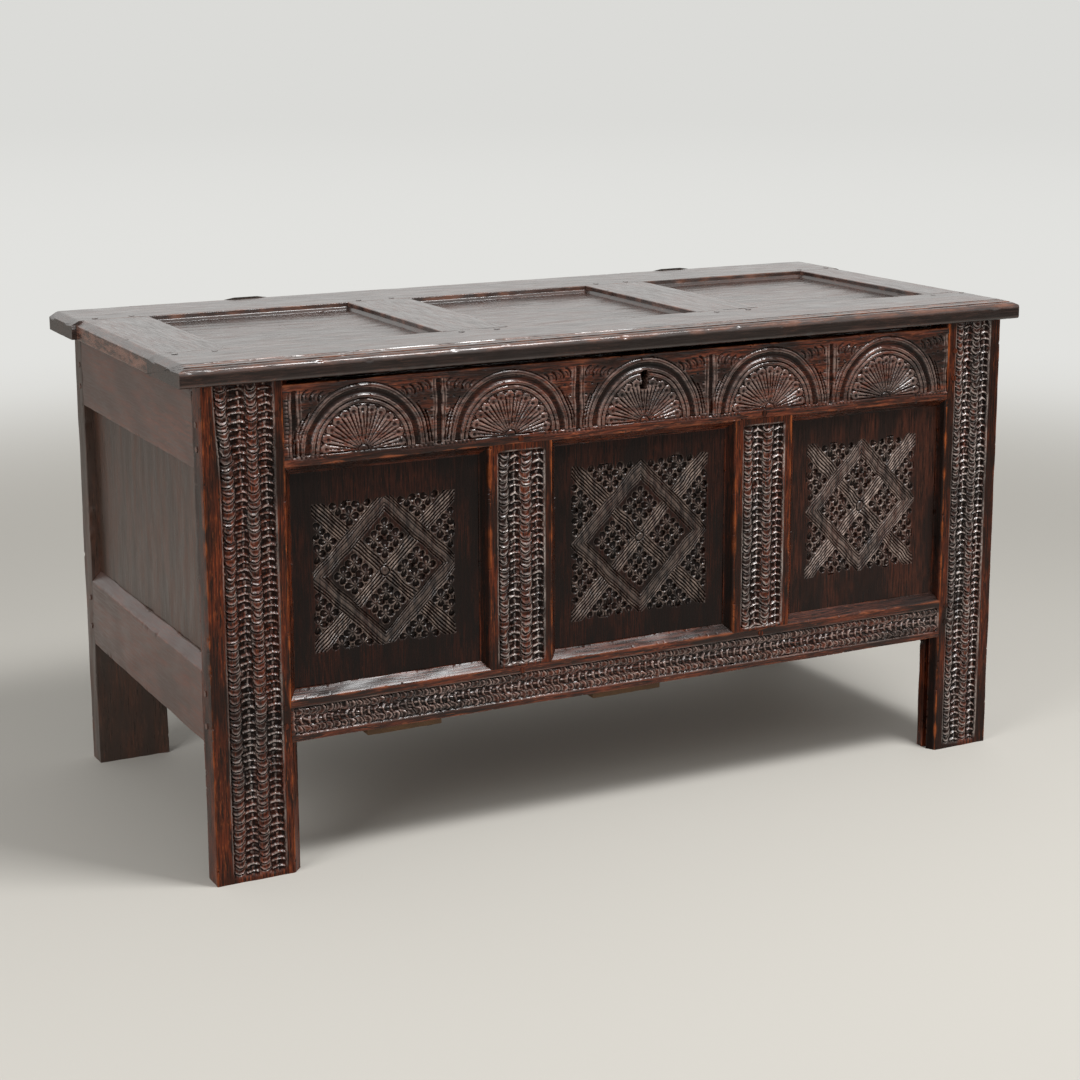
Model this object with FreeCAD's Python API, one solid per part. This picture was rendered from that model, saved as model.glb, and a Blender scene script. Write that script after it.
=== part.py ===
import FreeCAD, Part
import math
import os
from FreeCAD import Placement, Rotation, Vector

# A joined oak coffer.  Four posts (stiles) carry tenoned and pegged rails, and
# loose feathered panels sit in grooves, so the wood can move without splitting.
# All sizes in mm.  Origin: centre of the bounding box, on the floor.
# +X is the right-hand end, +Y the back, +Z up.

# the chest
BODY_LENGTH = 1300.0
BODY_DEPTH = 600.0
STILE_TOP = 688.0          # stiles stand proud of the rails and carry the lid
RAIL_TOP = 682.5
STILE_THICK = 38.0
RAIL_THICK = 28.0
LEFT_STILE_FACE = 113.0
RIGHT_STILE_FACE = 99.0
REAR_STILE_FACE = 113.0

# the long frames: arris lines of their three openings
OPENING_BOTTOM = 247.0
OPENING_TOP = 571.0
RAIL_UNDERSIDE = 187.0
MUNTIN_CENTRES = (-186.0, 217.0)
MUNTIN_FACE = 97.0
LEFT_STILE_BEVEL = 12.0
MUNTIN_BEVEL = 12.0
RIGHT_STILE_BEVEL = 8.0
RAIL_BEVEL = 13.0
FRONT_RECESS = 14.0        # depth of a panel's face below the frame's face
BACK_RECESS = 8.0

# the end frames
SIDE_RAIL_UNDERSIDE = 195.0
SIDE_RAIL_ARRIS = 296.0
SIDE_RAIL_BEVEL = 16.0
SIDE_OPENING_TOP = 574.0
SIDE_RECESS = 15.0

# the joints
GROOVE_WIDTH = 8.0
GROOVE_DEPTH = 9.0
PANEL_THICK = 12.0
PANEL_EDGE = 7.5           # the feathered edge that enters the groove
PANEL_SEAT = 7.0           # how far the edge enters the groove
FEATHER = 34.0
TENON_LENGTH = 45.0
SIDE_TENON_LENGTH = 26.0
MUNTIN_TENON_LENGTH = 30.0
TENON_SHOULDER = 5.0
PEG_SIDES = 8
PEG_RADIUS = 4.0           # to the flats
PEG_PROUD = 0.6
PEG_INSET = 20.0           # peg centre to the sight line of the opening
PEG_HEIGHTS = (212.0, 238.0, 602.0, 645.0)
END_PEG_INSET = 14.0
END_PEG_HEIGHTS = (222.0, 268.0, 602.0, 635.0)
END_PEG_LENGTH = 32.0
HOLE_EASE = 0.03

# the floor
BOARD_THICK = 13.0
BOARD_COUNT = 3
BOARD_GAP = 1.0
BOARD_REBATE = 14.0
BATTEN_WIDTH = 114.0
BATTEN_THICK = 13.0
BATTEN_CENTRES = (-362.0, -5.0)
BATTEN_SETBACK = 18.0
BOARD_NAIL_SHARES = (0.3, 0.7)     # nail places across each board's width

# the lid
LID_UNDERSIDE = 688.5
LID_ARRIS = 709.5
LID_TOP = 716.0
LID_NOSE = 7.0             # overhang at the front
LID_END = 679.0            # half length over the front rail
LID_BACK_END = 686.0       # half length over the longer back rail
LID_BEVEL = 14.0
LID_NOSE_HEEL = 2.5        # rounding of the nose's lower corner
LID_OVOLO = ((0.0, 9.0), (1.6, 5.5), (4.8, 2.8))   # the nose's top: in from the nose, below the top
LID_BEADS = ((3.0, 2.2), (3.0, 3.2), (5.0, 3.2), (5.0, 1.2), (14.0, 0.8), (15.0, 2.0),
             (16.5, 0.7), (23.0, 0.5), (24.0, 1.8), (25.5, 0.0))   # behind the front face, below the top
LID_FRONT_RAIL = 128.0     # from the chest's front face to the panel openings
LID_BACK_RAIL = 120.0
LID_OPENINGS = ((-567.0, -247.0), (-142.0, 175.0), (285.0, 597.0))
LID_WALL = 7.0             # upright part of the opening's edge
LID_TOE = 5.0              # small bevel at the foot of that edge
LID_RECESS = 11.0
LID_TENON_LENGTH = 40.0
LID_TENON_INSET = 20.0
LID_PEG_INSET = 14.0
LID_PEG_SPREAD = 28.0
LID_PEG_PROUD = 0.4

# the hinges
HINGE_CENTRES = (-371.0, 409.0)
HINGE_WIDTH = 70.0
LEAF_THICK = 2.5
LEAF_DROP = 58.0
LEAF_PROUD = 2.0           # top of the lid leaf above the lid
LEAF_CLIP = 16.0           # its upper corners are clipped by this much along
LEAF_CLIP_DROP = 2.5       # and this much down
KNUCKLE_RADIUS = 5.5
KNUCKLE_GAP = 0.6
PIN_RADIUS = 2.5
PIN_PLAY = 0.08
PIN_HEAD = 2.0
PIN_HEAD_RIM = 1.2
AXIS_OUT = 6.0             # pin axis behind the back face
LEAF_NAIL_SPREAD = 25.0    # each side of the hinge's middle
CHEST_NAIL_RISES = (10.0, 36.0)    # above the foot of the chest leaf
LID_NAIL_DROP = 9.0        # below the top of the lid

# the lock
LOCK_X = 13.0
KEYHOLE_TOP = 657.0
KEYHOLE_BOTTOM = 632.0
KEYHOLE_RADIUS = 5.0
KEYHOLE_SLOT = 5.0
KEY_PIN_RADIUS = 1.6
PLATE_THICK = 2.0
PLATE_HALF = 52.0
CASE_HALF = 40.0
CASE_DEPTH = 22.0
CASE_RISE = 6.0            # foot of the case above the foot of the plate
CASE_MOUTH = 2.5           # room each side of the staple
LOCK_TOP = 680.0
LOCK_BOTTOM = 612.0
BOLT_LOW = 661.0
BOLT_HIGH = 669.0
BOLT_LENGTH = 40.0
BOLT_THICK = 7.0
BOLT_PLAY = 0.1
BOLT_SHORT = 5.0           # gap between the drawn bolt and the staple
GUIDE_WIDTH = 4.0
GUIDE_INSET = 1.0
GUIDE_WALL = 3.0           # iron above and below the bolt
GUIDE_COVER = 2.0          # iron behind the bolt
BIT_NOTCH = (-5.0, 1.5)    # where the key's bit lifts the bolt, about the keyhole's middle
BIT_NOTCH_DEPTH = 2.5
SPRING_START = 8.0         # along the bolt
SPRING_END = 30.0
SPRING_THICK = 0.8
SPRING_WIDTH = 5.0
STAPLE_X = 27.0
STAPLE_THICK = 4.0
STAPLE_RADIUS = 7.5
STAPLE_CENTRE = 664.5
STAPLE_EYE = 8.4
STAPLE_EYE_LOW = 660.3
STAPLE_EYE_HIGH = 670.2
STAPLE_PLATE = 2.5
STAPLE_PLATE_HALF = (20.0, 11.0)
LOCK_NAIL_SPREAD = 46.0
LOCK_NAIL_HEIGHTS = (619.0, 672.0)
STAPLE_NAIL_SPREAD = 14.0

# nails
NAIL_RADIUS = 1.6          # half the square shank
NAIL_HEAD_RADIUS = 4.5
NAIL_HEAD = 1.4
NAIL_FLAT = 1.8
FLOOR_NAIL = 30.0
BATTEN_NAIL = 34.0
LEAF_NAIL = 20.0
LOCK_NAIL = 20.0
STAPLE_NAIL = 18.0

# places worked out from the above
FRONT = -(BODY_DEPTH + AXIS_OUT + KNUCKLE_RADIUS - LID_NOSE) / 2.0
BACK = FRONT + BODY_DEPTH
LEFT = -BODY_LENGTH / 2.0
RIGHT = BODY_LENGTH / 2.0
PIN_Y = BACK + AXIS_OUT
PIN_Z = (STILE_TOP + LID_UNDERSIDE) / 2.0
LOCK_Y = FRONT + RAIL_THICK
STAPLE_Y = LOCK_Y + CASE_DEPTH / 2.0


# ------------------------------------------------------------------ helpers
def box(x0, x1, y0, y1, z0, z1):
    low = Vector(min(x0, x1), min(y0, y1), min(z0, z1))
    return Part.makeBox(abs(x1 - x0), abs(y1 - y0), abs(z1 - z0), low)


def prism(points, sweep):
    """A flat polygon pushed along a vector."""
    corners = [Vector(*point) for point in points]
    wire = Part.makePolygon(corners + corners[:1])
    return Part.Face(wire).extrude(Vector(*sweep))


def rod(radius, start, direction, length):
    return Part.makeCylinder(radius, length, Vector(*start), Vector(*direction))


def mirror_x(shape):
    return shape.mirror(Vector(0, 0, 0), Vector(1, 0, 0))


def mirror_y(shape):
    return shape.mirror(Vector(0, (FRONT + BACK) / 2.0, 0), Vector(0, 1, 0))


def cut_all(shape, tools):
    for tool in tools:
        shape = shape.cut(tool)
    return shape


def fuse_all(shape, others):
    for other in others:
        shape = shape.fuse(other)
    return shape.removeSplitter()


def save(name, *shapes):
    solid = shapes[0] if len(shapes) == 1 else Part.makeCompound(list(shapes))
    solid.exportStep("parts/" + name + ".step")


def frustum(low, high):
    """A solid with flat faces between two closed rings that have as many corners."""
    faces = [Part.Face(Part.makePolygon(ring)) for ring in (low, high)]
    for a, b, c, d in zip(low, low[1:], high[1:], high):
        faces.append(Part.Face(Part.makePolygon([a, b, c, d, a])))
    return Part.Solid(Part.Shell(faces))


def polygon(sides, flat, height):
    """The corners of a regular polygon about Z, with its flats at the given distance from the axis."""
    reach = flat / math.cos(math.pi / sides)
    turns = [2.0 * math.pi * (side + 0.5) / sides for side in range(sides)]
    corners = [Vector(reach * math.cos(a), reach * math.sin(a), height) for a in turns]
    return corners + corners[:1]


def bar(sides, flat, start, direction, length):
    """A straight bar of regular polygon section."""
    solid = frustum(polygon(sides, flat, 0), polygon(sides, flat, length))
    solid.Placement = Placement(Vector(*start), Rotation(Vector(0, 0, 1), Vector(*direction)))
    return solid


def peg(start, direction, length):
    """Pegs are split from straight oak and shaved to eight sides."""
    return bar(PEG_SIDES, PEG_RADIUS, start, direction, length)


def peg_hole(start, direction, length):
    """A bored hole, pressed to the shape of the peg that is driven into it."""
    return bar(PEG_SIDES, PEG_RADIUS + HOLE_EASE, start, direction, length)


def nail(head_face, direction, length):
    """A forged nail: square shank, and a head hammered to four facets round a small flat.

    head_face is the centre of that flat."""
    head = frustum(polygon(4, NAIL_FLAT, 0), polygon(4, NAIL_HEAD_RADIUS, NAIL_HEAD))
    head.Placement = Placement(Vector(*head_face), Rotation(Vector(0, 0, 1), Vector(*direction)))
    return head.fuse(bar(4, NAIL_RADIUS, head_face, direction, length)).removeSplitter()


def nail_hole(head_face, direction, length):
    return bar(4, NAIL_RADIUS + HOLE_EASE, head_face, direction, length + HOLE_EASE)


def feathered_panel(a0, a1, b0, b1):
    """A panel over the given ranges of its own X and Y, with its face at 0.

    The face is flat, and the back is bevelled to the thin edge that enters
    the grooves."""
    def ring(inset, height):
        corners = [(a0 + inset, b0 + inset), (a1 - inset, b0 + inset),
                   (a1 - inset, b1 - inset), (a0 + inset, b1 - inset)]
        return [Vector(a, b, height) for a, b in corners + corners[:1]]

    edge = box(a0, a1, b0, b1, 0, PANEL_EDGE)
    field = frustum(ring(PANEL_SEAT, PANEL_EDGE), ring(FEATHER, PANEL_THICK))
    return edge.fuse(field).removeSplitter()


# ------------------------------------------- the front and back long frames
def long_frame(face_left, face_right, bevel_left, bevel_right, bevel_muntin, bevel_rail, recess):
    """The front wall of the chest; the back wall is the same one mirrored.

    Bevels run the whole length of each member, and the shoulders of the
    members that meet it are scribed over them, so the corners show mitres."""
    groove = (FRONT + recess, FRONT + recess + GROOVE_WIDTH)
    low = OPENING_BOTTOM + bevel_rail
    high = OPENING_TOP - bevel_rail
    arris = (LEFT + face_left, RIGHT - face_right)
    sight = (arris[0] + bevel_left, arris[1] - bevel_right)
    half = MUNTIN_FACE / 2.0

    def stile(face, bevel):
        plan = [(LEFT, FRONT), (LEFT + face, FRONT), (LEFT + face + bevel, FRONT + recess),
                (LEFT + face + bevel, FRONT + STILE_THICK), (LEFT, FRONT + STILE_THICK)]
        return prism([(x, y, 0) for x, y in plan], (0, 0, STILE_TOP))

    def rail(section):
        points = [(arris[0], FRONT + y, z) for y, z in section]
        return prism(points, (arris[1] - arris[0], 0, 0))

    def muntin(centre):
        wide = half + bevel_muntin
        plan = [(-half, 0), (half, 0), (wide, recess), (wide, RAIL_THICK),
                (-wide, RAIL_THICK), (-wide, recess)]
        points = [(centre + x, FRONT + y, OPENING_BOTTOM) for x, y in plan]
        return prism(points, (0, 0, OPENING_TOP - OPENING_BOTTOM))

    stiles = [stile(face_left, bevel_left), mirror_x(stile(face_right, bevel_right))]
    rails = [rail([(0, RAIL_UNDERSIDE), (0, OPENING_BOTTOM), (recess, low),
                   (RAIL_THICK, low), (RAIL_THICK, RAIL_UNDERSIDE)]),
             rail([(0, RAIL_TOP), (0, OPENING_TOP), (recess, high),
                   (RAIL_THICK, high), (RAIL_THICK, RAIL_TOP)])]
    rails = [cut_all(blank, stiles) for blank in rails]
    muntins = [cut_all(muntin(centre), rails) for centre in MUNTIN_CENTRES]

    # mortises and tenons
    spans = [(RAIL_UNDERSIDE + TENON_SHOULDER, low - GROOVE_DEPTH),
             (high + GROOVE_DEPTH, RAIL_TOP - 2.0 * TENON_SHOULDER)]
    for r, (z0, z1) in enumerate(spans):
        for s, inward in enumerate((-1.0, 1.0)):
            tenon = box(sight[s], sight[s] + inward * TENON_LENGTH, groove[0], groove[1], z0, z1)
            rails[r] = rails[r].fuse(tenon)
            stiles[s] = stiles[s].cut(tenon)
    for m, centre in enumerate(MUNTIN_CENTRES):
        wide = min(half - TENON_SHOULDER, half + bevel_muntin - GROOVE_DEPTH)
        for r, (edge, away) in enumerate(((low, -1.0), (high, 1.0))):
            tenon = box(centre - wide, centre + wide, groove[0], groove[1],
                        edge, edge + away * MUNTIN_TENON_LENGTH)
            muntins[m] = muntins[m].fuse(tenon)
            rails[r] = rails[r].cut(tenon)

    # grooves for the panels
    for s, inward in enumerate((-1.0, 1.0)):
        stiles[s] = stiles[s].cut(box(sight[s], sight[s] + inward * GROOVE_DEPTH, groove[0], groove[1],
                                      low - GROOVE_DEPTH, high + GROOVE_DEPTH))
    rails[0] = rails[0].cut(box(sight[0], sight[1], groove[0], groove[1], low - GROOVE_DEPTH, low))
    rails[1] = rails[1].cut(box(sight[0], sight[1], groove[0], groove[1], high, high + GROOVE_DEPTH))
    edges = [sight[0]]
    for m, centre in enumerate(MUNTIN_CENTRES):
        for side in (-1.0, 1.0):
            edge = centre + side * (half + bevel_muntin)
            edges.append(edge)
            muntins[m] = muntins[m].cut(box(edge, edge - side * GROOVE_DEPTH, groove[0], groove[1], low, high))
    edges.append(sight[1])

    # panels
    panels = []
    for x0, x1 in zip(edges[0::2], edges[1::2]):
        panel = feathered_panel(x0 - PANEL_SEAT, x1 + PANEL_SEAT, -high - PANEL_SEAT, -low + PANEL_SEAT)
        panel.rotate(Vector(0, 0, 0), Vector(1, 0, 0), -90)
        panel.translate(Vector(0, groove[0], 0))
        panels.append(panel)

    # pegs through the tenons
    pegs = []
    start = FRONT - PEG_PROUD
    for s, inward in enumerate((-1.0, 1.0)):
        for z in PEG_HEIGHTS:
            place = (sight[s] + inward * PEG_INSET, start, z)
            pegs.append(peg(place, (0, 1, 0), STILE_THICK + PEG_PROUD))
            hole = peg_hole(place, (0, 1, 0), STILE_THICK + PEG_PROUD)
            stiles[s] = stiles[s].cut(hole)
            rails[0 if z < OPENING_BOTTOM else 1] = rails[0 if z < OPENING_BOTTOM else 1].cut(hole)
    for m, centre in enumerate(MUNTIN_CENTRES):
        for r, z in enumerate((low - PEG_INSET, high + PEG_INSET)):
            place = (centre, start, z)
            pegs.append(peg(place, (0, 1, 0), RAIL_THICK + PEG_PROUD))
            hole = peg_hole(place, (0, 1, 0), RAIL_THICK + PEG_PROUD)
            rails[r] = rails[r].cut(hole)
            muntins[m] = muntins[m].cut(hole)
    return stiles, rails, muntins, panels, pegs


# ------------------------------------------------------------ the end frame
def end_frame():
    """Rails and panel of the left end, between the front and rear stiles."""
    y0 = FRONT + STILE_THICK
    y1 = BACK - STILE_THICK
    low = SIDE_RAIL_ARRIS + SIDE_RAIL_BEVEL
    high = SIDE_OPENING_TOP
    groove = (LEFT + SIDE_RECESS, LEFT + SIDE_RECESS + GROOVE_WIDTH)
    inner = LEFT + RAIL_THICK

    bottom = prism([(LEFT, y0, SIDE_RAIL_UNDERSIDE), (LEFT, y0, SIDE_RAIL_ARRIS), (groove[0], y0, low),
                    (inner, y0, low), (inner, y0, SIDE_RAIL_UNDERSIDE)], (0, y1 - y0, 0))
    rebate_top = RAIL_UNDERSIDE + BOARD_THICK
    bottom = bottom.cut(box(inner - BOARD_REBATE, inner, y0, y1, SIDE_RAIL_UNDERSIDE, rebate_top))
    bottom = bottom.cut(box(groove[0], groove[1], y0, y1, low - GROOVE_DEPTH, low))
    top = box(LEFT, inner, y0, y1, high, RAIL_TOP)
    top = top.cut(box(groove[0], groove[1], y0, y1, high, high + GROOVE_DEPTH))

    tenons = []
    for z0, z1 in ((SIDE_RAIL_UNDERSIDE + 2.0 * TENON_SHOULDER, low - GROOVE_DEPTH),
                   (high + GROOVE_DEPTH, RAIL_TOP - 2.0 * TENON_SHOULDER)):
        for edge, away in ((y0, -1.0), (y1, 1.0)):
            tenons.append(box(groove[0], groove[1], edge, edge + away * SIDE_TENON_LENGTH, z0, z1))
    bottom = fuse_all(bottom, tenons[:2])
    top = fuse_all(top, tenons[2:])

    panel = feathered_panel(-high - PANEL_SEAT, -low + PANEL_SEAT, y0 - PANEL_SEAT, y1 + PANEL_SEAT)
    panel.rotate(Vector(0, 0, 0), Vector(0, 1, 0), 90)
    panel.translate(Vector(groove[0], 0, 0))

    housings = tenons + [box(groove[0], groove[1], edge, edge + away * GROOVE_DEPTH,
                             low - GROOVE_DEPTH, high + GROOVE_DEPTH)
                         for edge, away in ((y0, -1.0), (y1, 1.0))]
    pegs = []
    holes = []
    for y in (y0 - END_PEG_INSET, y1 + END_PEG_INSET):
        for z in END_PEG_HEIGHTS:
            place = (LEFT - PEG_PROUD, y, z)
            pegs.append(peg(place, (1, 0, 0), END_PEG_LENGTH))
            holes.append(peg_hole(place, (1, 0, 0), END_PEG_LENGTH + HOLE_EASE))
    return cut_all(bottom, holes), cut_all(top, holes), panel, pegs, housings + holes


# ---------------------------------------------------------------- the floor
def floor_pieces(stiles):
    """Boards along the chest, carried by battens nailed under the long rails."""
    y0 = FRONT + RAIL_THICK
    pitch = (BODY_DEPTH - 2.0 * RAIL_THICK + BOARD_GAP) / BOARD_COUNT
    end = RIGHT - RAIL_THICK + BOARD_REBATE
    boards = []
    nails = []
    for b in range(BOARD_COUNT):
        start = y0 + b * pitch
        board = box(-end, end, start, start + pitch - BOARD_GAP, RAIL_UNDERSIDE, RAIL_UNDERSIDE + BOARD_THICK)
        boards.append(cut_all(board, stiles))
        for x in (-end + BOARD_REBATE / 2.0, end - BOARD_REBATE / 2.0):
            for share in BOARD_NAIL_SHARES:
                nails.append((x, start + share * pitch, RAIL_UNDERSIDE - NAIL_HEAD))
    battens = []
    for centre in BATTEN_CENTRES:
        battens.append(box(centre - BATTEN_WIDTH / 2.0, centre + BATTEN_WIDTH / 2.0,
                           FRONT + BATTEN_SETBACK, BACK - BATTEN_SETBACK,
                           RAIL_UNDERSIDE - BATTEN_THICK, RAIL_UNDERSIDE))
        for x in (centre - BATTEN_WIDTH / 3.0, centre + BATTEN_WIDTH / 3.0):
            for y in (FRONT + RAIL_THICK - NAIL_HEAD_RADIUS, BACK - RAIL_THICK + NAIL_HEAD_RADIUS):
                nails.append((x, y, RAIL_UNDERSIDE - BATTEN_THICK - NAIL_HEAD))
    return boards, battens, nails


# ------------------------------------------------------------------ the lid
def lid_pieces():
    """Two long rails, two ends and two muntins round three sunk panels."""
    shelf = LID_TOP - LID_RECESS
    step = LID_TOP - LID_WALL
    groove = (shelf - GROOVE_WIDTH, shelf)
    y_front = FRONT + LID_FRONT_RAIL
    y_back = BACK - LID_BACK_RAIL
    nose = FRONT - LID_NOSE

    def long_rail(section, half):
        blank = prism([(-half, y, z) for y, z in section], (2.0 * half, 0, 0))
        wedge = [(half, LID_TOP), (half, LID_ARRIS), (half - LID_BEVEL, LID_TOP)]
        chamfer = prism([(x, nose, z) for x, z in wedge], (0, BODY_DEPTH + LID_NOSE, 0))
        return cut_all(blank, [chamfer, mirror_x(chamfer)])

    # front rail: a rounded nose, an ovolo and two scratched beads
    section = [(nose + LID_NOSE_HEEL, LID_UNDERSIDE), (nose, LID_UNDERSIDE + LID_NOSE_HEEL)]
    section += [(nose + y, LID_TOP - z) for y, z in LID_OVOLO]
    section += [(FRONT + y, LID_TOP - z) for y, z in LID_BEADS]
    section += [(y_front, LID_TOP), (y_front, step), (y_front + LID_TOE, shelf),
                (y_front + LID_TOE, LID_UNDERSIDE)]
    front = long_rail(section, LID_END)

    # back rail: square outer edge
    section = [(BACK, LID_UNDERSIDE), (BACK, LID_TOP), (y_back, LID_TOP), (y_back, step),
               (y_back - LID_TOE, shelf), (y_back - LID_TOE, LID_UNDERSIDE)]
    back = long_rail(section, LID_BACK_END)

    # ends and muntins, their shoulders scribed to the long rails
    def cross_piece(section):
        points = [(x, y_front, z) for x, z in section]
        return cut_all(prism(points, (0, y_back - y_front, 0)), [front, back])

    def left_edge(x):
        return [(x - LID_TOE, LID_UNDERSIDE), (x - LID_TOE, shelf), (x, step), (x, LID_TOP)]

    def right_edge(x):
        return [(x, LID_TOP), (x, step), (x + LID_TOE, shelf), (x + LID_TOE, LID_UNDERSIDE)]

    outer_left = [(-LID_END, LID_UNDERSIDE), (-LID_END, LID_ARRIS), (-LID_END + LID_BEVEL, LID_TOP)]
    outer_right = [(-a, z) for a, z in reversed(outer_left)]
    crosses = [(outer_left + right_edge(LID_OPENINGS[0][0]),
                (-LID_END + LID_TENON_INSET, LID_OPENINGS[0][0] - GROOVE_DEPTH))]
    for (_, x0), (x1, _) in zip(LID_OPENINGS, LID_OPENINGS[1:]):
        crosses.append((left_edge(x0) + right_edge(x1), (x0 + GROOVE_DEPTH, x1 - GROOVE_DEPTH)))
    crosses.append((left_edge(LID_OPENINGS[2][1]) + outer_right,
                    (LID_OPENINGS[2][1] + GROOVE_DEPTH, LID_END - LID_TENON_INSET)))

    shapes = []
    pegs = []
    holes = []
    for section, (x0, x1) in crosses:
        shape = cross_piece(section)
        for edge, away in ((y_front + LID_TOE, -1.0), (y_back - LID_TOE, 1.0)):
            tenon = box(x0, x1, edge, edge + away * LID_TENON_LENGTH, groove[0], groove[1])
            shape = shape.fuse(tenon)
            front = front.cut(tenon)
            back = back.cut(tenon)
            for spread in (-LID_PEG_SPREAD, LID_PEG_SPREAD):
                place = ((x0 + x1) / 2.0 + spread, edge + away * (LID_TOE + LID_PEG_INSET), LID_UNDERSIDE)
                length = LID_TOP - LID_UNDERSIDE
                pegs.append(peg(place, (0, 0, 1), length + LID_PEG_PROUD))
                holes.append(peg_hole(place, (0, 0, 1), length))
        shapes.append(shape)

    # grooves and panels
    panels = []
    for x0, x1 in LID_OPENINGS:
        hollow = box(x0 + LID_TOE - GROOVE_DEPTH, x1 - LID_TOE + GROOVE_DEPTH,
                     y_front + LID_TOE - GROOVE_DEPTH, y_back - LID_TOE + GROOVE_DEPTH, groove[0], groove[1])
        front = front.cut(hollow)
        back = back.cut(hollow)
        shapes = [shape.cut(hollow) for shape in shapes]
        panel = feathered_panel(x0 + LID_TOE - PANEL_SEAT, x1 - LID_TOE + PANEL_SEAT,
                                -y_back + LID_TOE - PANEL_SEAT, -y_front - LID_TOE + PANEL_SEAT)
        panel.rotate(Vector(0, 0, 0), Vector(1, 0, 0), 180)
        panel.translate(Vector(0, 0, shelf))
        panels.append(panel)
    shapes = [cut_all(shape, holes).removeSplitter() for shape in shapes]
    return cut_all(front, holes), cut_all(back, holes), shapes, panels, pegs


# --------------------------------------------------------------- the hinges
def hinge(centre):
    """A wrought butt hinge on the back faces: chest leaf, lid leaf and pin."""
    third = HINGE_WIDTH / 3.0
    start = centre - HINGE_WIDTH / 2.0
    clear = KNUCKLE_RADIUS + KNUCKLE_GAP

    def knuckle(index):
        x = start + index * third + KNUCKLE_GAP / 2.0
        return x, rod(KNUCKLE_RADIUS, (x, PIN_Y, PIN_Z), (1, 0, 0), third - KNUCKLE_GAP)

    def plate(index, z0, z1):
        x, _ = knuckle(index)
        return box(x, x + third - KNUCKLE_GAP, BACK, BACK + LEAF_THICK, z0, z1)

    bottom = RAIL_TOP - LEAF_DROP
    chest = box(start, start + HINGE_WIDTH, BACK, BACK + LEAF_THICK, bottom, PIN_Z - clear)
    chest = fuse_all(chest, [plate(0, PIN_Z - clear, PIN_Z), plate(2, PIN_Z - clear, PIN_Z),
                             knuckle(0)[1], knuckle(2)[1]])
    end = start + HINGE_WIDTH
    crest = LID_TOP + LEAF_PROUD
    outline = [(start, PIN_Z + clear), (end, PIN_Z + clear), (end, crest - LEAF_CLIP_DROP),
               (end - LEAF_CLIP, crest), (start + LEAF_CLIP, crest), (start, crest - LEAF_CLIP_DROP)]
    lid = prism([(x, BACK, z) for x, z in outline], (0, LEAF_THICK, 0))
    lid = fuse_all(lid, [plate(1, PIN_Z, PIN_Z + clear), knuckle(1)[1]])

    axis = (start - PIN_HEAD, PIN_Y, PIN_Z)
    pin = rod(PIN_RADIUS, axis, (1, 0, 0), HINGE_WIDTH + 2.0 * PIN_HEAD)
    for x in (start - PIN_HEAD, start + HINGE_WIDTH):
        pin = pin.fuse(bar(PEG_SIDES, PIN_RADIUS + PIN_HEAD_RIM, (x, PIN_Y, PIN_Z), (1, 0, 0), PIN_HEAD))
    chest = chest.cut(rod(PIN_RADIUS + HOLE_EASE, axis, (1, 0, 0), HINGE_WIDTH + 2.0 * PIN_HEAD))
    lid = lid.cut(rod(PIN_RADIUS + PIN_PLAY, axis, (1, 0, 0), HINGE_WIDTH + 2.0 * PIN_HEAD))

    face = BACK + LEAF_THICK + NAIL_HEAD
    chest_nails = [(centre + side * LEAF_NAIL_SPREAD, face, bottom + rise)
                   for side in (-1.0, 1.0) for rise in CHEST_NAIL_RISES]
    lid_nails = [(centre + side * LEAF_NAIL_SPREAD, face, LID_TOP - LID_NAIL_DROP) for side in (-1.0, 0.0, 1.0)]
    return chest, lid, pin.removeSplitter(), chest_nails, lid_nails


# ----------------------------------------------------------------- the lock
def keyhole(y0, y1):
    centre = KEYHOLE_TOP - KEYHOLE_RADIUS
    eye = rod(KEYHOLE_RADIUS, (LOCK_X, y0, centre), (0, 1, 0), y1 - y0)
    slot = box(LOCK_X - KEYHOLE_SLOT / 2.0, LOCK_X + KEYHOLE_SLOT / 2.0, y0, y1, KEYHOLE_BOTTOM, centre)
    return eye.fuse(slot)


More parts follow.
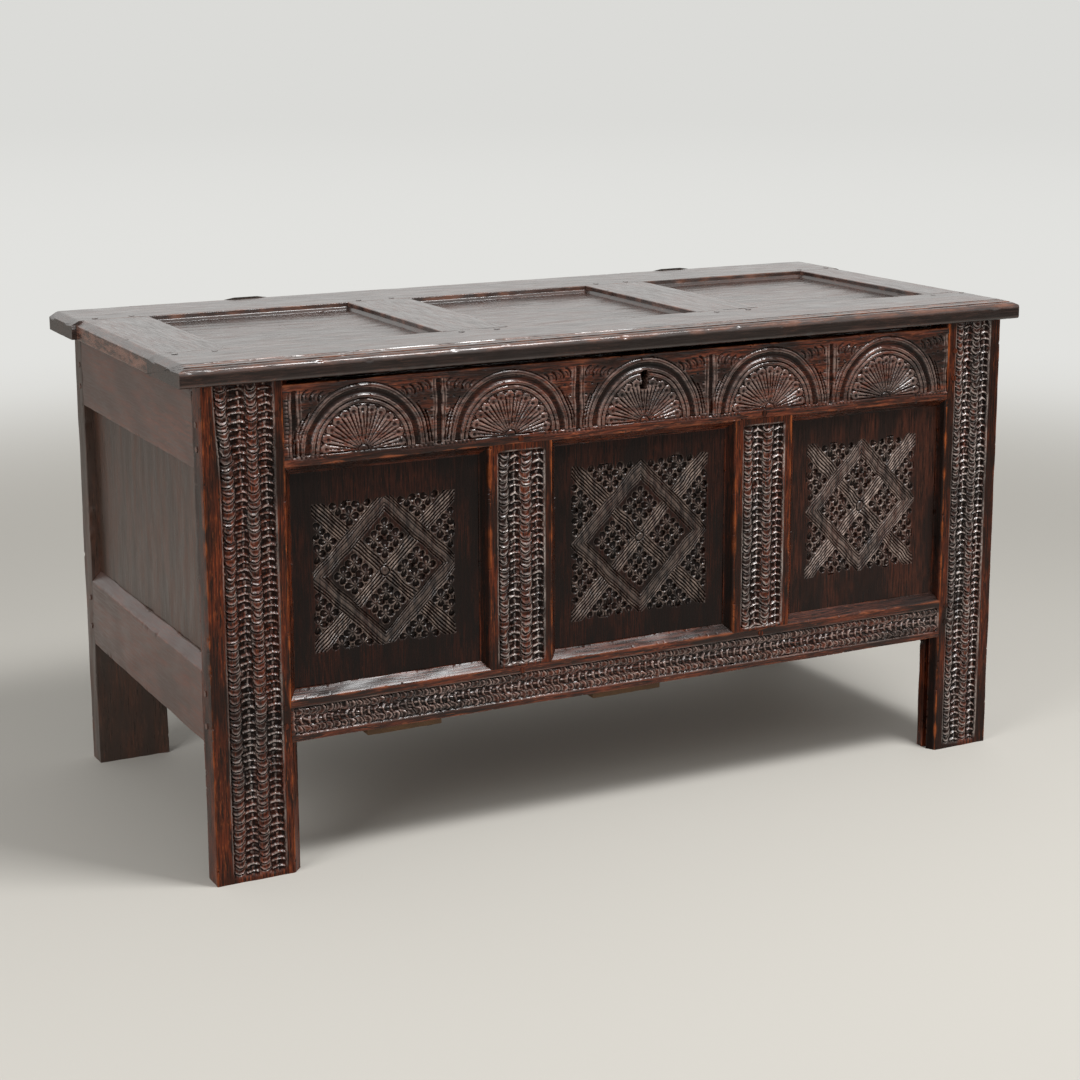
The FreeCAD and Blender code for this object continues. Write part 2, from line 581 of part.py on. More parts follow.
def lock_pieces():
    """Plate with two guides, case, sliding bolt, flat spring, and the lid's staple."""
    inside = LOCK_Y + PLATE_THICK
    cover = LOCK_Y + CASE_DEPTH
    wall = PLATE_THICK
    x0 = LOCK_X - CASE_HALF
    x1 = LOCK_X + CASE_HALF
    bolt_y = (STAPLE_Y - BOLT_THICK / 2.0, STAPLE_Y + BOLT_THICK / 2.0)
    bolt_x0 = STAPLE_X - STAPLE_THICK / 2.0 - BOLT_SHORT - BOLT_LENGTH

    plate = box(LOCK_X - PLATE_HALF, LOCK_X + PLATE_HALF, LOCK_Y, inside, LOCK_BOTTOM, LOCK_TOP)
    plate = plate.cut(keyhole(LOCK_Y, inside))
    channel = box(x0, x1, bolt_y[0] - BOLT_PLAY, bolt_y[1] + BOLT_PLAY, BOLT_LOW - BOLT_PLAY, BOLT_HIGH + BOLT_PLAY)
    for x in (bolt_x0 + GUIDE_INSET, bolt_x0 + BOLT_LENGTH - GUIDE_INSET - GUIDE_WIDTH):
        guide = box(x, x + GUIDE_WIDTH, inside, bolt_y[1] + GUIDE_COVER,
                    BOLT_LOW - GUIDE_WALL, BOLT_HIGH + GUIDE_WALL)
        plate = plate.fuse(guide.cut(channel))

    case_low = LOCK_BOTTOM + CASE_RISE
    case = box(x0, x1, inside, cover, case_low, LOCK_TOP)
    case = case.cut(box(x0 + wall, x1 - wall, inside, cover - wall, case_low + wall, LOCK_TOP - wall))
    mouth = STAPLE_THICK / 2.0 + CASE_MOUTH
    case = case.cut(box(STAPLE_X - mouth, STAPLE_X + mouth, inside, cover - wall, LOCK_TOP - wall, LOCK_TOP))
    key_pin = rod(KEY_PIN_RADIUS, (LOCK_X, LOCK_Y, KEYHOLE_TOP - KEYHOLE_RADIUS), (0, 1, 0), CASE_DEPTH - wall / 2.0)
    case = case.fuse(key_pin)

    bolt = box(bolt_x0, bolt_x0 + BOLT_LENGTH, bolt_y[0], bolt_y[1], BOLT_LOW, BOLT_HIGH)
    bolt = bolt.cut(box(LOCK_X + BIT_NOTCH[0], LOCK_X + BIT_NOTCH[1], bolt_y[0], bolt_y[1],
                        BOLT_LOW, BOLT_LOW + BIT_NOTCH_DEPTH))

    # a leaf fixed flat under the case's roof, then bowed down to the bolt
    ends = (bolt_x0 + SPRING_START, bolt_x0 + SPRING_END)
    roof = LOCK_TOP - wall
    sag = BOLT_HIGH + BOLT_PLAY
    leaf = SPRING_THICK
    low_y = STAPLE_Y - SPRING_WIDTH / 2.0

    def bow(drop):
        middle = Vector(sum(ends) / 2.0, low_y, sag + drop)
        return Part.Arc(Vector(ends[0], low_y, roof - leaf + drop), middle,
                        Vector(ends[1], low_y, roof - leaf + drop)).toShape()

    under = bow(0.0)
    over = bow(leaf)
    sides = [Part.makeLine(Vector(x, low_y, roof - leaf), Vector(x, low_y, roof)) for x in ends]
    bowed = Part.Face(Part.Wire(Part.__sortEdges__([under, over] + sides))).extrude(Vector(0, SPRING_WIDTH, 0))
    tab = box(bolt_x0, ends[0], low_y, low_y + SPRING_WIDTH, roof - leaf, roof)
    spring = fuse_all(tab, [bowed])

    # the staple: a plate under the lid with an eye for the bolt
    half = STAPLE_THICK / 2.0
    loop = box(STAPLE_X - half, STAPLE_X + half, STAPLE_Y - STAPLE_RADIUS, STAPLE_Y + STAPLE_RADIUS,
               STAPLE_CENTRE, LID_UNDERSIDE)
    loop = loop.fuse(rod(STAPLE_RADIUS, (STAPLE_X - half, STAPLE_Y, STAPLE_CENTRE), (1, 0, 0), STAPLE_THICK))
    loop = loop.cut(box(STAPLE_X - half, STAPLE_X + half, STAPLE_Y - STAPLE_EYE / 2.0, STAPLE_Y + STAPLE_EYE / 2.0,
                        STAPLE_EYE_LOW, STAPLE_EYE_HIGH))
    base = box(STAPLE_X - STAPLE_PLATE_HALF[0], STAPLE_X + STAPLE_PLATE_HALF[0],
               STAPLE_Y - STAPLE_PLATE_HALF[1], STAPLE_Y + STAPLE_PLATE_HALF[1],
               LID_UNDERSIDE - STAPLE_PLATE, LID_UNDERSIDE)
    staple = fuse_all(base, [loop])

    plate_nails = [(LOCK_X + side * LOCK_NAIL_SPREAD, inside + NAIL_HEAD, z)
                   for side in (-1.0, 1.0) for z in LOCK_NAIL_HEIGHTS]
    staple_nails = [(STAPLE_X + side * STAPLE_NAIL_SPREAD, STAPLE_Y, LID_UNDERSIDE - STAPLE_PLATE - NAIL_HEAD)
                    for side in (-1.0, 1.0)]
    return plate.removeSplitter(), case.removeSplitter(), bolt, spring, staple, plate_nails, staple_nails


# ----------------------------------------------------------------- assembly
os.makedirs("parts", exist_ok=True)

front_stiles, front_rails, front_muntins, front_panels, front_pegs = long_frame(
    LEFT_STILE_FACE, RIGHT_STILE_FACE, LEFT_STILE_BEVEL, RIGHT_STILE_BEVEL,
    MUNTIN_BEVEL, RAIL_BEVEL, FRONT_RECESS)
back_stiles, back_rails, back_muntins, back_panels, back_pegs = long_frame(
    REAR_STILE_FACE, REAR_STILE_FACE, 0.0, 0.0, 0.0, 0.0, BACK_RECESS)
back_stiles, back_rails, back_muntins, back_panels, back_pegs = [
    [mirror_y(shape) for shape in shapes]
    for shapes in (back_stiles, back_rails, back_muntins, back_panels, back_pegs)]

end_bottom, end_top, end_panel, end_pegs, end_housings = end_frame()
left_stiles = [cut_all(front_stiles[0], end_housings), cut_all(back_stiles[0], end_housings)]
right_housings = [mirror_x(tool) for tool in end_housings]
right_stiles = [cut_all(front_stiles[1], right_housings), cut_all(back_stiles[1], right_housings)]
side_rails = [end_bottom, mirror_x(end_bottom)]

boards, battens, floor_nails = floor_pieces(left_stiles + right_stiles)
lid_front, lid_back, lid_crosses, lid_panels, lid_pegs = lid_pieces()
hinges = [hinge(centre) for centre in HINGE_CENTRES]
lock_plate, lock_case, lock_bolt, lock_spring, lock_staple, plate_nails, staple_nails = lock_pieces()

# nail holes, then the nails
UP = (0, 0, 1)
INTO_BACK = (0, -1, 0)

top_rail = front_rails[1].cut(keyhole(FRONT, LOCK_Y))
floor_lengths = [FLOOR_NAIL if abs(x) > RIGHT - RAIL_THICK else BATTEN_NAIL for x, _, _ in floor_nails]
floor_holes = [nail_hole(place, UP, length) for place, length in zip(floor_nails, floor_lengths)]
plate_holes = [nail_hole(place, INTO_BACK, LOCK_NAIL) for place in plate_nails]
staple_holes = [nail_hole(place, UP, STAPLE_NAIL) for place in staple_nails]
chest_leaf_nails = [place for parts in hinges for place in parts[3]]
lid_leaf_nails = [place for parts in hinges for place in parts[4]]
chest_leaf_holes = [nail_hole(place, INTO_BACK, LEAF_NAIL) for place in chest_leaf_nails]
lid_leaf_holes = [nail_hole(place, INTO_BACK, LEAF_NAIL) for place in lid_leaf_nails]

save("front_stile_left", left_stiles[0])
save("front_stile_right", right_stiles[0])
save("rear_stile_left", left_stiles[1])
save("rear_stile_right", right_stiles[1])
save("front_bottom_rail", cut_all(front_rails[0], floor_holes).removeSplitter())
save("front_top_rail", cut_all(top_rail, plate_holes).removeSplitter())
save("back_bottom_rail", cut_all(back_rails[0], floor_holes).removeSplitter())
save("back_top_rail", cut_all(back_rails[1], chest_leaf_holes).removeSplitter())
for place, front, back in zip(("left", "right"), front_muntins, back_muntins):
    save("front_muntin_" + place, front.removeSplitter())
    save("back_muntin_" + place, back.removeSplitter())
for place, front, back, lid in zip(("left", "middle", "right"), front_panels, back_panels, lid_panels):
    save("front_panel_" + place, front)
    save("back_panel_" + place, back)
    save("lid_panel_" + place, lid)
for place, rail, top, panel in zip(("left", "right"), side_rails, (end_top, mirror_x(end_top)),
                                   (end_panel, mirror_x(end_panel))):
    save("side_bottom_rail_" + place, cut_all(rail, floor_holes))
    save("side_top_rail_" + place, top)
    save("side_panel_" + place, panel)
for number, board in enumerate(boards):
    save("floor_board_" + str(number + 1), cut_all(board, floor_holes))
for place, batten in zip(("left", "middle"), battens):
    save("floor_batten_" + place, cut_all(batten, floor_holes))

save("lid_front_rail", cut_all(lid_front, staple_holes).removeSplitter())
save("lid_back_rail", cut_all(lid_back, lid_leaf_holes).removeSplitter())
for name, shape in zip(("end_left", "muntin_left", "muntin_right", "end_right"), lid_crosses):
    save("lid_" + name, shape)

for place, parts in zip(("left", "right"), hinges):
    save("hinge_chest_leaf_" + place, cut_all(parts[0], chest_leaf_holes))
    save("hinge_lid_leaf_" + place, cut_all(parts[1], lid_leaf_holes))
    save("hinge_pin_" + place, parts[2])

save("lock_plate", cut_all(lock_plate, plate_holes))
save("lock_case", lock_case)
save("lock_bolt", lock_bolt)
save("lock_spring", lock_spring)
save("lock_staple", cut_all(lock_staple, staple_holes))

save("front_pegs", *front_pegs)
save("back_pegs", *back_pegs)
save("side_pegs", *(end_pegs + [mirror_x(shape) for shape in end_pegs]))
save("lid_pegs", *lid_pegs)
save("floor_nails", *[nail(place, UP, length) for place, length in zip(floor_nails, floor_lengths)])
save("lock_nails", *[nail(place, INTO_BACK, LOCK_NAIL) for place in plate_nails])
save("hinge_nails_chest", *[nail(place, INTO_BACK, LEAF_NAIL) for place in chest_leaf_nails])
save("hinge_nails_lid", *[nail(place, INTO_BACK, LEAF_NAIL) for place in lid_leaf_nails])
save("staple_nails", *[nail(place, UP, STAPLE_NAIL) for place in staple_nails])
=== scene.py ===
import math

import bpy
import numpy as np
from mathutils import Matrix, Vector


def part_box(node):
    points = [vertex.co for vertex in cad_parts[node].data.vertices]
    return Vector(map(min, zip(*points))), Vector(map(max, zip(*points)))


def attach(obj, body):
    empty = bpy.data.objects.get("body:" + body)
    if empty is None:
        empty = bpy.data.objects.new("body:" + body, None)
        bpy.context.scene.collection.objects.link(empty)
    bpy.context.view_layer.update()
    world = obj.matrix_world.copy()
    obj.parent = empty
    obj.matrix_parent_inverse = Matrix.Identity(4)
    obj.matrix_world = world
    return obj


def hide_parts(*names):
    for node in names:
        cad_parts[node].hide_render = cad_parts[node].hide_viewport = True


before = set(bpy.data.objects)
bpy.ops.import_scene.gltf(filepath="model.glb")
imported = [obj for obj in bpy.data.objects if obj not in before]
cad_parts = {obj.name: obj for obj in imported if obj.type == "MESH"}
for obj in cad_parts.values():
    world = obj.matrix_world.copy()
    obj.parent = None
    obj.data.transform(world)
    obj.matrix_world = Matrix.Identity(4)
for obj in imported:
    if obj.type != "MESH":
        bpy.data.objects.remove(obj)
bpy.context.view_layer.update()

# ------------------------------------------------------------------ camera
# It stands off the left front corner, a little above the lid.  Places are in mm in the
# chest's own frame: X along the front, Y to the back, Z up from the floor.
MM = 0.001
CAMERA_PLACE = (-1538.4, -2997.1, 1177.7)
YAW = math.radians(27.147)
PITCH = math.radians(12.078)
ROLL = math.radians(0.197)
LENS = 73.397
SENSOR = 36.0
IMAGE_SIZE = 1080.0
SHIFT = -70.0 / IMAGE_SIZE
FARTHEST = 300.0                           # metres, past the floor's rim

forward = np.array([math.sin(YAW) * math.cos(PITCH), math.cos(YAW) * math.cos(PITCH), -math.sin(PITCH)])
level = np.array([math.cos(YAW), -math.sin(YAW), 0.0])
below = np.cross(forward, level)
image_right = level * math.cos(ROLL) + below * math.sin(ROLL)
image_down = below * math.cos(ROLL) - level * math.sin(ROLL)
camera = bpy.data.objects.new("camera", bpy.data.cameras.new("camera"))
bpy.context.scene.collection.objects.link(camera)
pose = np.eye(4)
pose[:3, :4] = np.column_stack([image_right, -image_down, -forward, np.array(CAMERA_PLACE) * MM])
camera.matrix_world = Matrix(pose.tolist())
camera.data.lens = LENS
camera.data.sensor_width = SENSOR
camera.data.shift_y = SHIFT
camera.data.clip_end = FARTHEST
bpy.context.scene.camera = camera
bpy.context.scene.view_settings.view_transform = "Standard"


# ------------------------------------------------------- floor, room, light
# A pale matt floor that runs away into a pale room, a soft box high over the front right of
# the chest and a weaker one at its left, as in a saleroom.
def tone(hexa):
    """An sRGB hex colour as a linear RGBA tuple."""
    parts = [int(hexa[i:i + 2], 16) / 255.0 for i in (1, 3, 5)]
    return tuple(p / 12.92 if p <= 0.04045 else ((p + 0.055) / 1.055) ** 2.4 for p in parts) + (1.0,)


def add(tree, kind, inputs, **settings):
    """One node: its settings, then each named or numbered input as a value or a link."""
    made = tree.nodes.new(kind)
    for key, value in settings.items():
        setattr(made, key, value)
    for key, value in inputs.items():
        if isinstance(value, bpy.types.NodeSocket):
            tree.links.new(value, made.inputs[key])
        else:
            made.inputs[key].default_value = value
    return made


def material(name):
    """An empty node material."""
    made = bpy.data.materials.new(name)
    made.use_nodes = True
    made.node_tree.nodes.clear()
    return made


ROOM = "#ecebe9"
FAR_FLOOR = "#dbdbd8"
MIDDLE_FLOOR = "#e2e2df"
NEAR_FLOOR = "#c5c2bb"
ROOM_LIGHT = 0.46
ROOM_IN_THE_WAX = 1.15                     # as bright as polished surfaces mirror it

room = bpy.data.worlds.new("pale_room")
bpy.context.scene.world = room
room.use_nodes = True
tree = room.node_tree
tree.nodes.clear()
path = add(tree, "ShaderNodeLightPath", {}).outputs
mirrored = add(tree, "ShaderNodeMath", {0: path["Is Glossy Ray"], 1: path["Is Transmission Ray"]},
               operation="ADD", use_clamp=True)
lit = add(tree, "ShaderNodeBackground", {"Color": tone(ROOM), "Strength": ROOM_LIGHT})
shown = add(tree, "ShaderNodeBackground", {"Color": tone(ROOM), "Strength": ROOM_IN_THE_WAX})
both = add(tree, "ShaderNodeMixShader", {0: mirrored.outputs[0], 1: lit.outputs[0], 2: shown.outputs[0]})
wall = add(tree, "ShaderNodeBackground", {"Color": tone(FAR_FLOOR), "Strength": 1.0})
both = add(tree, "ShaderNodeMixShader", {0: path["Is Camera Ray"], 1: both.outputs[0], 2: wall.outputs[0]})
add(tree, "ShaderNodeOutputWorld", {"Surface": both.outputs[0]})

FLOOR_RADIUS = 120.0
RIM_POINTS = 96
turns = np.linspace(0.0, 2.0 * math.pi, RIM_POINTS, endpoint=False)
rim = np.column_stack([FLOOR_RADIUS * np.cos(turns), FLOOR_RADIUS * np.sin(turns), 0.0 * turns])
floor_mesh = bpy.data.meshes.new("floor")
floor_mesh.from_pydata(rim.tolist(), [], [list(range(RIM_POINTS))])
floor = bpy.data.objects.new("floor", floor_mesh)
bpy.context.scene.collection.objects.link(floor)
paint = material("matt_floor_paint")       # even and chalky, with no reflection to speak of
tree = paint.node_tree
where = add(tree, "ShaderNodeTexCoord", {}).outputs["Object"]
away = add(tree, "ShaderNodeVectorMath", {0: where}, operation="LENGTH").outputs["Value"]


def beyond(low, high):
    """0 on the floor within low metres of the chest, 1 past high, and a smooth S between."""
    return add(tree, "ShaderNodeMapRange", {0: away, 1: low, 2: high},
               interpolation_type="SMOOTHSTEP").outputs[0]


path = add(tree, "ShaderNodeLightPath", {}).outputs
fade = add(tree, "ShaderNodeMath", {0: beyond(1.2, 3.8), 1: path["Is Camera Ray"]},
           operation="MULTIPLY").outputs[0]
haze = add(tree, "ShaderNodeMix", {0: beyond(1.8, 4.5), 6: tone(NEAR_FLOOR), 7: tone(MIDDLE_FLOOR)},
           data_type="RGBA").outputs[2]
haze = add(tree, "ShaderNodeMix", {0: beyond(6.0, 20.0), 6: haze, 7: tone(FAR_FLOOR)},
           data_type="RGBA").outputs[2]
coat = add(tree, "ShaderNodeBsdfPrincipled", {"Base Color": tone(NEAR_FLOOR), "Roughness": 0.75,
                                              "Specular IOR Level": 0.2})
glow = add(tree, "ShaderNodeEmission", {"Color": haze, "Strength": 1.0})
both = add(tree, "ShaderNodeMixShader", {0: fade, 1: coat.outputs[0], 2: glow.outputs[0]})
add(tree, "ShaderNodeOutputMaterial", {"Surface": both.outputs[0]})
floor.data.materials.append(paint)


def soft_box(name, place, target, width, height, power):
    """A rectangular lamp at place (m) that faces target."""
    lamp = bpy.data.lights.new(name, "AREA")
    lamp.shape = "RECTANGLE"
    lamp.size = width
    lamp.size_y = height
    lamp.energy = power
    holder = bpy.data.objects.new(name, lamp)
    bpy.context.scene.collection.objects.link(holder)
    aim = np.array(target, float) - np.array(place, float)
    aim /= np.linalg.norm(aim)
    side = np.cross(aim, (0.0, 0.0, 1.0))
    side /= np.linalg.norm(side)
    turn = np.eye(4)
    turn[:3, :4] = np.column_stack([side, np.cross(side, aim), -aim, place])
    holder.matrix_world = Matrix(turn.tolist())


soft_box("overhead_box", (0.85, -1.45, 3.10), (0.0, -0.2, 0.4), 1.1, 0.8, 90.0)
soft_box("left_box", (-3.2, -1.6, 1.9), (-0.3, 0.0, 0.4), 1.6, 1.6, 56.0)


# --------------------------------------------------------- joiner's geometry
# Every wooden member is a length of oak with its own section, whose ends are cut to fit the
# members it meets.  The face may be carved, and the arrises are worn round.
WAVES = 24


def speckle(x, y, x_size, y_size, seed):
    """A smooth random field of unit spread: a sum of cosine waves whose lengths are near the sizes."""
    rng = np.random.default_rng(seed)
    kx = rng.normal(size=WAVES) / x_size
    ky = rng.normal(size=WAVES) / y_size
    phase = rng.uniform(0.0, 2.0 * math.pi, WAVES)
    total = np.zeros(np.broadcast(x, y).shape, np.float32)
    for a, b, c in zip(kx, ky, phase):
        total += np.cos((2.0 * math.pi * (a * x + b * y) + c).astype(np.float32))
    return total * math.sqrt(2.0 / WAVES)


def ramp(x, low, high):
    """0 below low, 1 above high, and a smooth S between."""
    t = np.clip((x - low) / (high - low), 0.0, 1.0)
    return t * t * (3.0 - 2.0 * t)


def blurred(h, cells):
    """h averaged over a square window of 2 * cells + 1, along each axis in turn."""
    for axis in (0, 1):
        pad = [(0, 0), (0, 0)]
        pad[axis] = (cells + 1, cells)
        run = np.cumsum(np.pad(h, pad, mode="edge"), axis=axis)
        span = 2 * cells + 1
        size = run.shape[axis]
        window_end = np.take(run, range(span, size), axis=axis)
        window_start = np.take(run, range(size - span), axis=axis)
        h = (window_end - window_start) / span
    return h


def stations(cuts, steps):
    """Positions from the first cut to the last, with each stretch divided at about its own step."""
    parts = [np.linspace(a, b, max(int(round(abs(b - a) / s)), 1) + 1)[:-1]
             for a, b, s in zip(cuts, cuts[1:], steps)]
    return np.concatenate(parts + [[cuts[-1]]])


LARGEST_ROUNDING = 0.45                    # of a side's length


def loop_of(corners):
    """A closed section from (across, depth, radius, step) corners joined by straight sides.

    Each corner is rounded by a quadratic curve that starts its radius before it and ends its
    radius after it, and the side that follows it is divided at about its step.  Returns the
    points, the side that each lies on, and 1 for the points on a corner's curve."""
    corners = np.array(corners, float)
    n = len(corners)
    cut = []
    for i in range(n):
        here = corners[i, :2]
        back = corners[i - 1, :2] - here
        ahead = corners[(i + 1) % n, :2] - here
        back_len = np.linalg.norm(back)
        ahead_len = np.linalg.norm(ahead)
        reach = min(corners[i, 2], LARGEST_ROUNDING * back_len, LARGEST_ROUNDING * ahead_len)
        cut.append((here + back / back_len * reach, here, here + ahead / ahead_len * reach))
    points = []
    sides = []
    arcs = []
    for i in range(n):
        start, corner, end = cut[i]
        if corners[i, 2] > 0.0:
            t = np.linspace(0.0, 1.0, 4 if corners[i, 2] < 1.0 else 5)[:, None]
            curve = (1 - t) ** 2 * start + 2 * t * (1 - t) * corner + t ** 2 * end
        else:
            curve = corner[None, :]
        points.append(curve)
        sides += [i] * len(curve)
        arcs += [1.0] * len(curve)
        following = cut[(i + 1) % n][0]
        count = max(int(round(np.linalg.norm(following - end) / corners[i, 3])), 1)
        inner = np.linspace(0.0, 1.0, count + 1)[1:-1, None]
        points.append(end + inner * (following - end))
        sides += [i] * (count - 1)
        arcs += [0.0] * (count - 1)
    return np.concatenate(points), np.array(sides), np.array(arcs)


CAP_SHARES = (0.96, 0.86, 0.72, 0.54, 0.36, 0.18, 0.03)
PANEL_EDGE = 7.5
SHARP_ANGLE = math.radians(50.0)


def member(name, axes, origin, corners, ends, rows, carve=None, worn=(), seed=0, unevenness=0.25,
           chips=1.0, wear_reach=1.7, feather=0.0, ripple=0.03, shaded_and_grimy=(), bare=(), dust_and_highlight_share=None, cut_shade_and_soot=0.85):
    """A wooden member as one closed mesh, with the shades that its finish is mixed by.

    axes are the unit vectors along, across and into the piece, and origin is in mm.  The point
    (L, A, D) is origin + along * L + across * A + into * D, where (A, D) runs round the section
    and L between ends(D), at the shares given by rows.  carve(L, A) is the height of the
    surface where D is 0, negative where wood is cut away, and each point moves along the
    section's outward normal by its height.  Both ends close with rings drawn in to the
    section's middle.  worn lists the corners that are rubbed bright, with their strengths, and
    the back thins to PANEL_EDGE over the feather at both ends.  shaded_and_grimy lists the sides
    painted dark, with painted shade and grime, and bare those given the rubbed colour all over,
    which makes them lighter, each with its strength.  dust_and_highlight_share(L, A) is 1 where
    the carving's ridges take most of the pale dust and painted highlight, and cut_shade_and_soot
    is how dark the cuts are painted, with shade and soot."""
    loop, side, arc = loop_of(corners)
    middle = (loop.min(axis=0) + loop.max(axis=0)) / 2.0
    share = (rows - rows[0]) / (rows[-1] - rows[0])
    low, high = ends(loop[:, 1])
    length = low + share[:, None] * (high - low)
    shape = length.shape
    across = np.broadcast_to(loop[:, 0], shape).copy()
    depth = np.broadcast_to(loop[:, 1], shape).copy()

    tangent = np.roll(loop, -1, axis=0) - np.roll(loop, 1, axis=0)
    tangent /= np.linalg.norm(tangent, axis=1)[:, None]
    area = np.sum(loop[:, 0] * np.roll(loop[:, 1], -1) - np.roll(loop[:, 0], -1) * loop[:, 1])
    normal = np.column_stack([tangent[:, 1], -tangent[:, 0]]) * np.sign(area)
    around = np.concatenate([[0.0], np.cumsum(np.linalg.norm(np.diff(loop, axis=0), axis=1))])

    # Slow hollows left by the plane, its fine ripples, and chips and bruises along the arrises.
    height = unevenness * (speckle(length, around, 150.0, 50.0, seed) - 1.6)
    height += ripple * speckle(length, around, 50.0, 4.0, seed + 1)
    chip = np.clip(speckle(length, around, 9.0, 12.0, seed + 2) - 1.1, 0.0, 1.5)
    chip *= np.clip(0.7 + 0.6 * speckle(length, around, 90.0, 60.0, seed + 4), 0.0, 1.6)
    height -= chips * chip * arc
    face = loop[:, 1] < 0.01
    relief = np.zeros(shape)
    if carve is not None:
        relief[:, face] = carve(length[:, face], across[:, face])
    height += relief

    # The rubbing fades as a bell over wear_reach from the corner, and comes and goes along it.
    edge = np.zeros(shape)
    for corner, weight in worn:
        place = around[np.argmax((side == corner) & (arc > 0)) + 2]
        gap = np.abs(around - place)
        gap = np.minimum(gap, around[-1] - gap)
        patch = 0.55 + 0.45 * speckle(length, 0.0 * around, 60.0, 1.0, seed + 5 + corner)
        reach = wear_reach * np.clip(patch, 0.25, 1.6)
        edge = np.maximum(edge, weight * np.clip(patch + 0.35, 0.0, 1.0) * np.exp(-(gap / reach) ** 2))
    for number, weight in bare:
        edge[:, side == number] = np.maximum(edge[:, side == number], weight)
    # What lies under its neighbours' mean height is sunk, and what stands over it is a ridge.
    # sunk stands for the cuts' dirt and for painted shade: it is strongest in narrow cuts and in deep, wide
    # ones, where shade falls.
    sunk = np.zeros(shape)
    ridge = np.zeros(shape)
    if carve is not None:
        cut = relief[:, face]
        wide = blurred(cut, 8)
        local = cut - blurred(cut, 3)
        deep = np.clip(-wide / 8.0, 0.0, 0.3)
        sunk[:, face] = np.clip(-local / 0.9 - (cut - wide) / 3.0 + deep, 0.0, 1.0) * cut_shade_and_soot
        among_cuts = np.clip((-wide - 0.6) / 0.5, 0.0, 1.0)
        ridge[:, face] = np.clip((cut - blurred(cut, 1)) / 0.35, 0.0, 1.0) * among_cuts
    # The share scales the pale dust and painted highlight on the ridges, and lays a little of both over whole
    # bands of mouldings.
    if dust_and_highlight_share is not None:
        share_of_dust_and_highlight = dust_and_highlight_share(length[:, face], across[:, face])
        ridge[:, face] = ridge[:, face] * (0.6 + 0.4 * share_of_dust_and_highlight)
        ridge[:, face] = np.maximum(ridge[:, face], 0.32 * share_of_dust_and_highlight * (1.0 - sunk[:, face]))
    # The listed sides are painted dark: painted shade on bevels that face away from the lamps, and grime.
    for number, weight in shaded_and_grimy:
        sunk[:, (side == number) & (arc < 1.0)] = weight

    if feather > 0.0:
        thin = np.clip(np.minimum(length - low, high - length) / feather, 0.0, 1.0)
        depth = np.where(depth > PANEL_EDGE, PANEL_EDGE + (depth - PANEL_EDGE) * thin, depth)
    across += normal[:, 0] * height
    depth += normal[:, 1] * height

    caps = []
    for row in (0, -1):
        scale = np.array(CAP_SHARES)[:, None]
        cap_across = middle[0] + scale * (across[row] - middle[0])
        cap_depth = middle[1] + scale * (depth[row] - middle[1])
        cap_length = ends(cap_depth)[row]
        caps.append((cap_length + 0.0 * cap_across, cap_across, cap_depth))
    stack = [np.vstack([caps[0][k][::-1], body, caps[1][k]])
             for k, body in enumerate((length, across, depth))]
    blank = np.zeros((len(CAP_SHARES), shape[1]))
    shades = {"edge": edge, "sunk": sunk, "ridge": ridge}
    shades = {key: np.vstack([blank, value, blank]) for key, value in shades.items()}
    frame_axes = np.array(axes, float)
    place = np.array(origin, float) + sum(part[..., None] * frame_axes[k] for k, part in enumerate(stack))
    return tube(name, place, shades)


def tube(name, place, shades):
    """A closed tube of quads over a grid of points (mm), with a face at each end and vertex shades."""
    rows, cols = place.shape[:2]
    index = np.arange(rows * cols).reshape(rows, cols)
    quads = np.stack([index[:-1], np.roll(index, -1, axis=1)[:-1], np.roll(index, -1, axis=1)[1:], index[1:]],
                     axis=-1).reshape(-1, 4)
    points = place.reshape(-1, 3)
    a, b, c, d = (points[quads[:, k]] for k in range(4))
    volume = np.einsum("ij,ij->i", a, np.cross(b, c)).sum() + np.einsum("ij,ij->i", a, np.cross(c, d)).sum()
    first = index[0].tolist()
    last = index[-1].tolist()
    if volume < 0:
        quads = quads[:, ::-1]
        last = last[::-1]
    else:
        first = first[::-1]
    mesh = bpy.data.meshes.new(name)
    mesh.from_pydata((points * MM).tolist(), [], quads.tolist() + [first, last])
    for shade, value in shades.items():
        layer = mesh.attributes.new(shade, "FLOAT", "POINT")
        layer.data.foreach_set("value", np.ascontiguousarray(value, np.float32).ravel())
    mesh.polygons.foreach_set("use_smooth", np.ones(len(mesh.polygons), bool))
    mesh.set_sharp_from_angle(angle=SHARP_ANGLE)
    made = bpy.data.objects.new(name, mesh)
    bpy.context.scene.collection.objects.link(made)
    return made


def dress(piece, body, node, finish):
    """The piece stands for a CAD node, rides on its body and takes its finish from a slot."""
    piece.data.materials.append(finish)
    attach(piece, body)
    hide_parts(node)


def limits(node):
    """A CAD node's lowest and highest corner, in mm."""
    low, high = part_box(node)
    return np.array(low) / MM, np.array(high) / MM


def square_ends(low, high):
    """Ends cut square."""
    return lambda depth: (low + 0.0 * depth, high + 0.0 * depth)


# -------------------------------------------------------------------- oak
# Old oak, split and planed by hand, stained by smoke and many coats of wax to near black.
# Handling has polished the arrises through to red-brown.  Dirt and painted shade darken the cuts, and pale
# dust and painted highlights lighten the carving's ridges.
# The colour of the cuts' dirt and of the shade painted into them.
SHADE_AND_SOOT = "#060302"


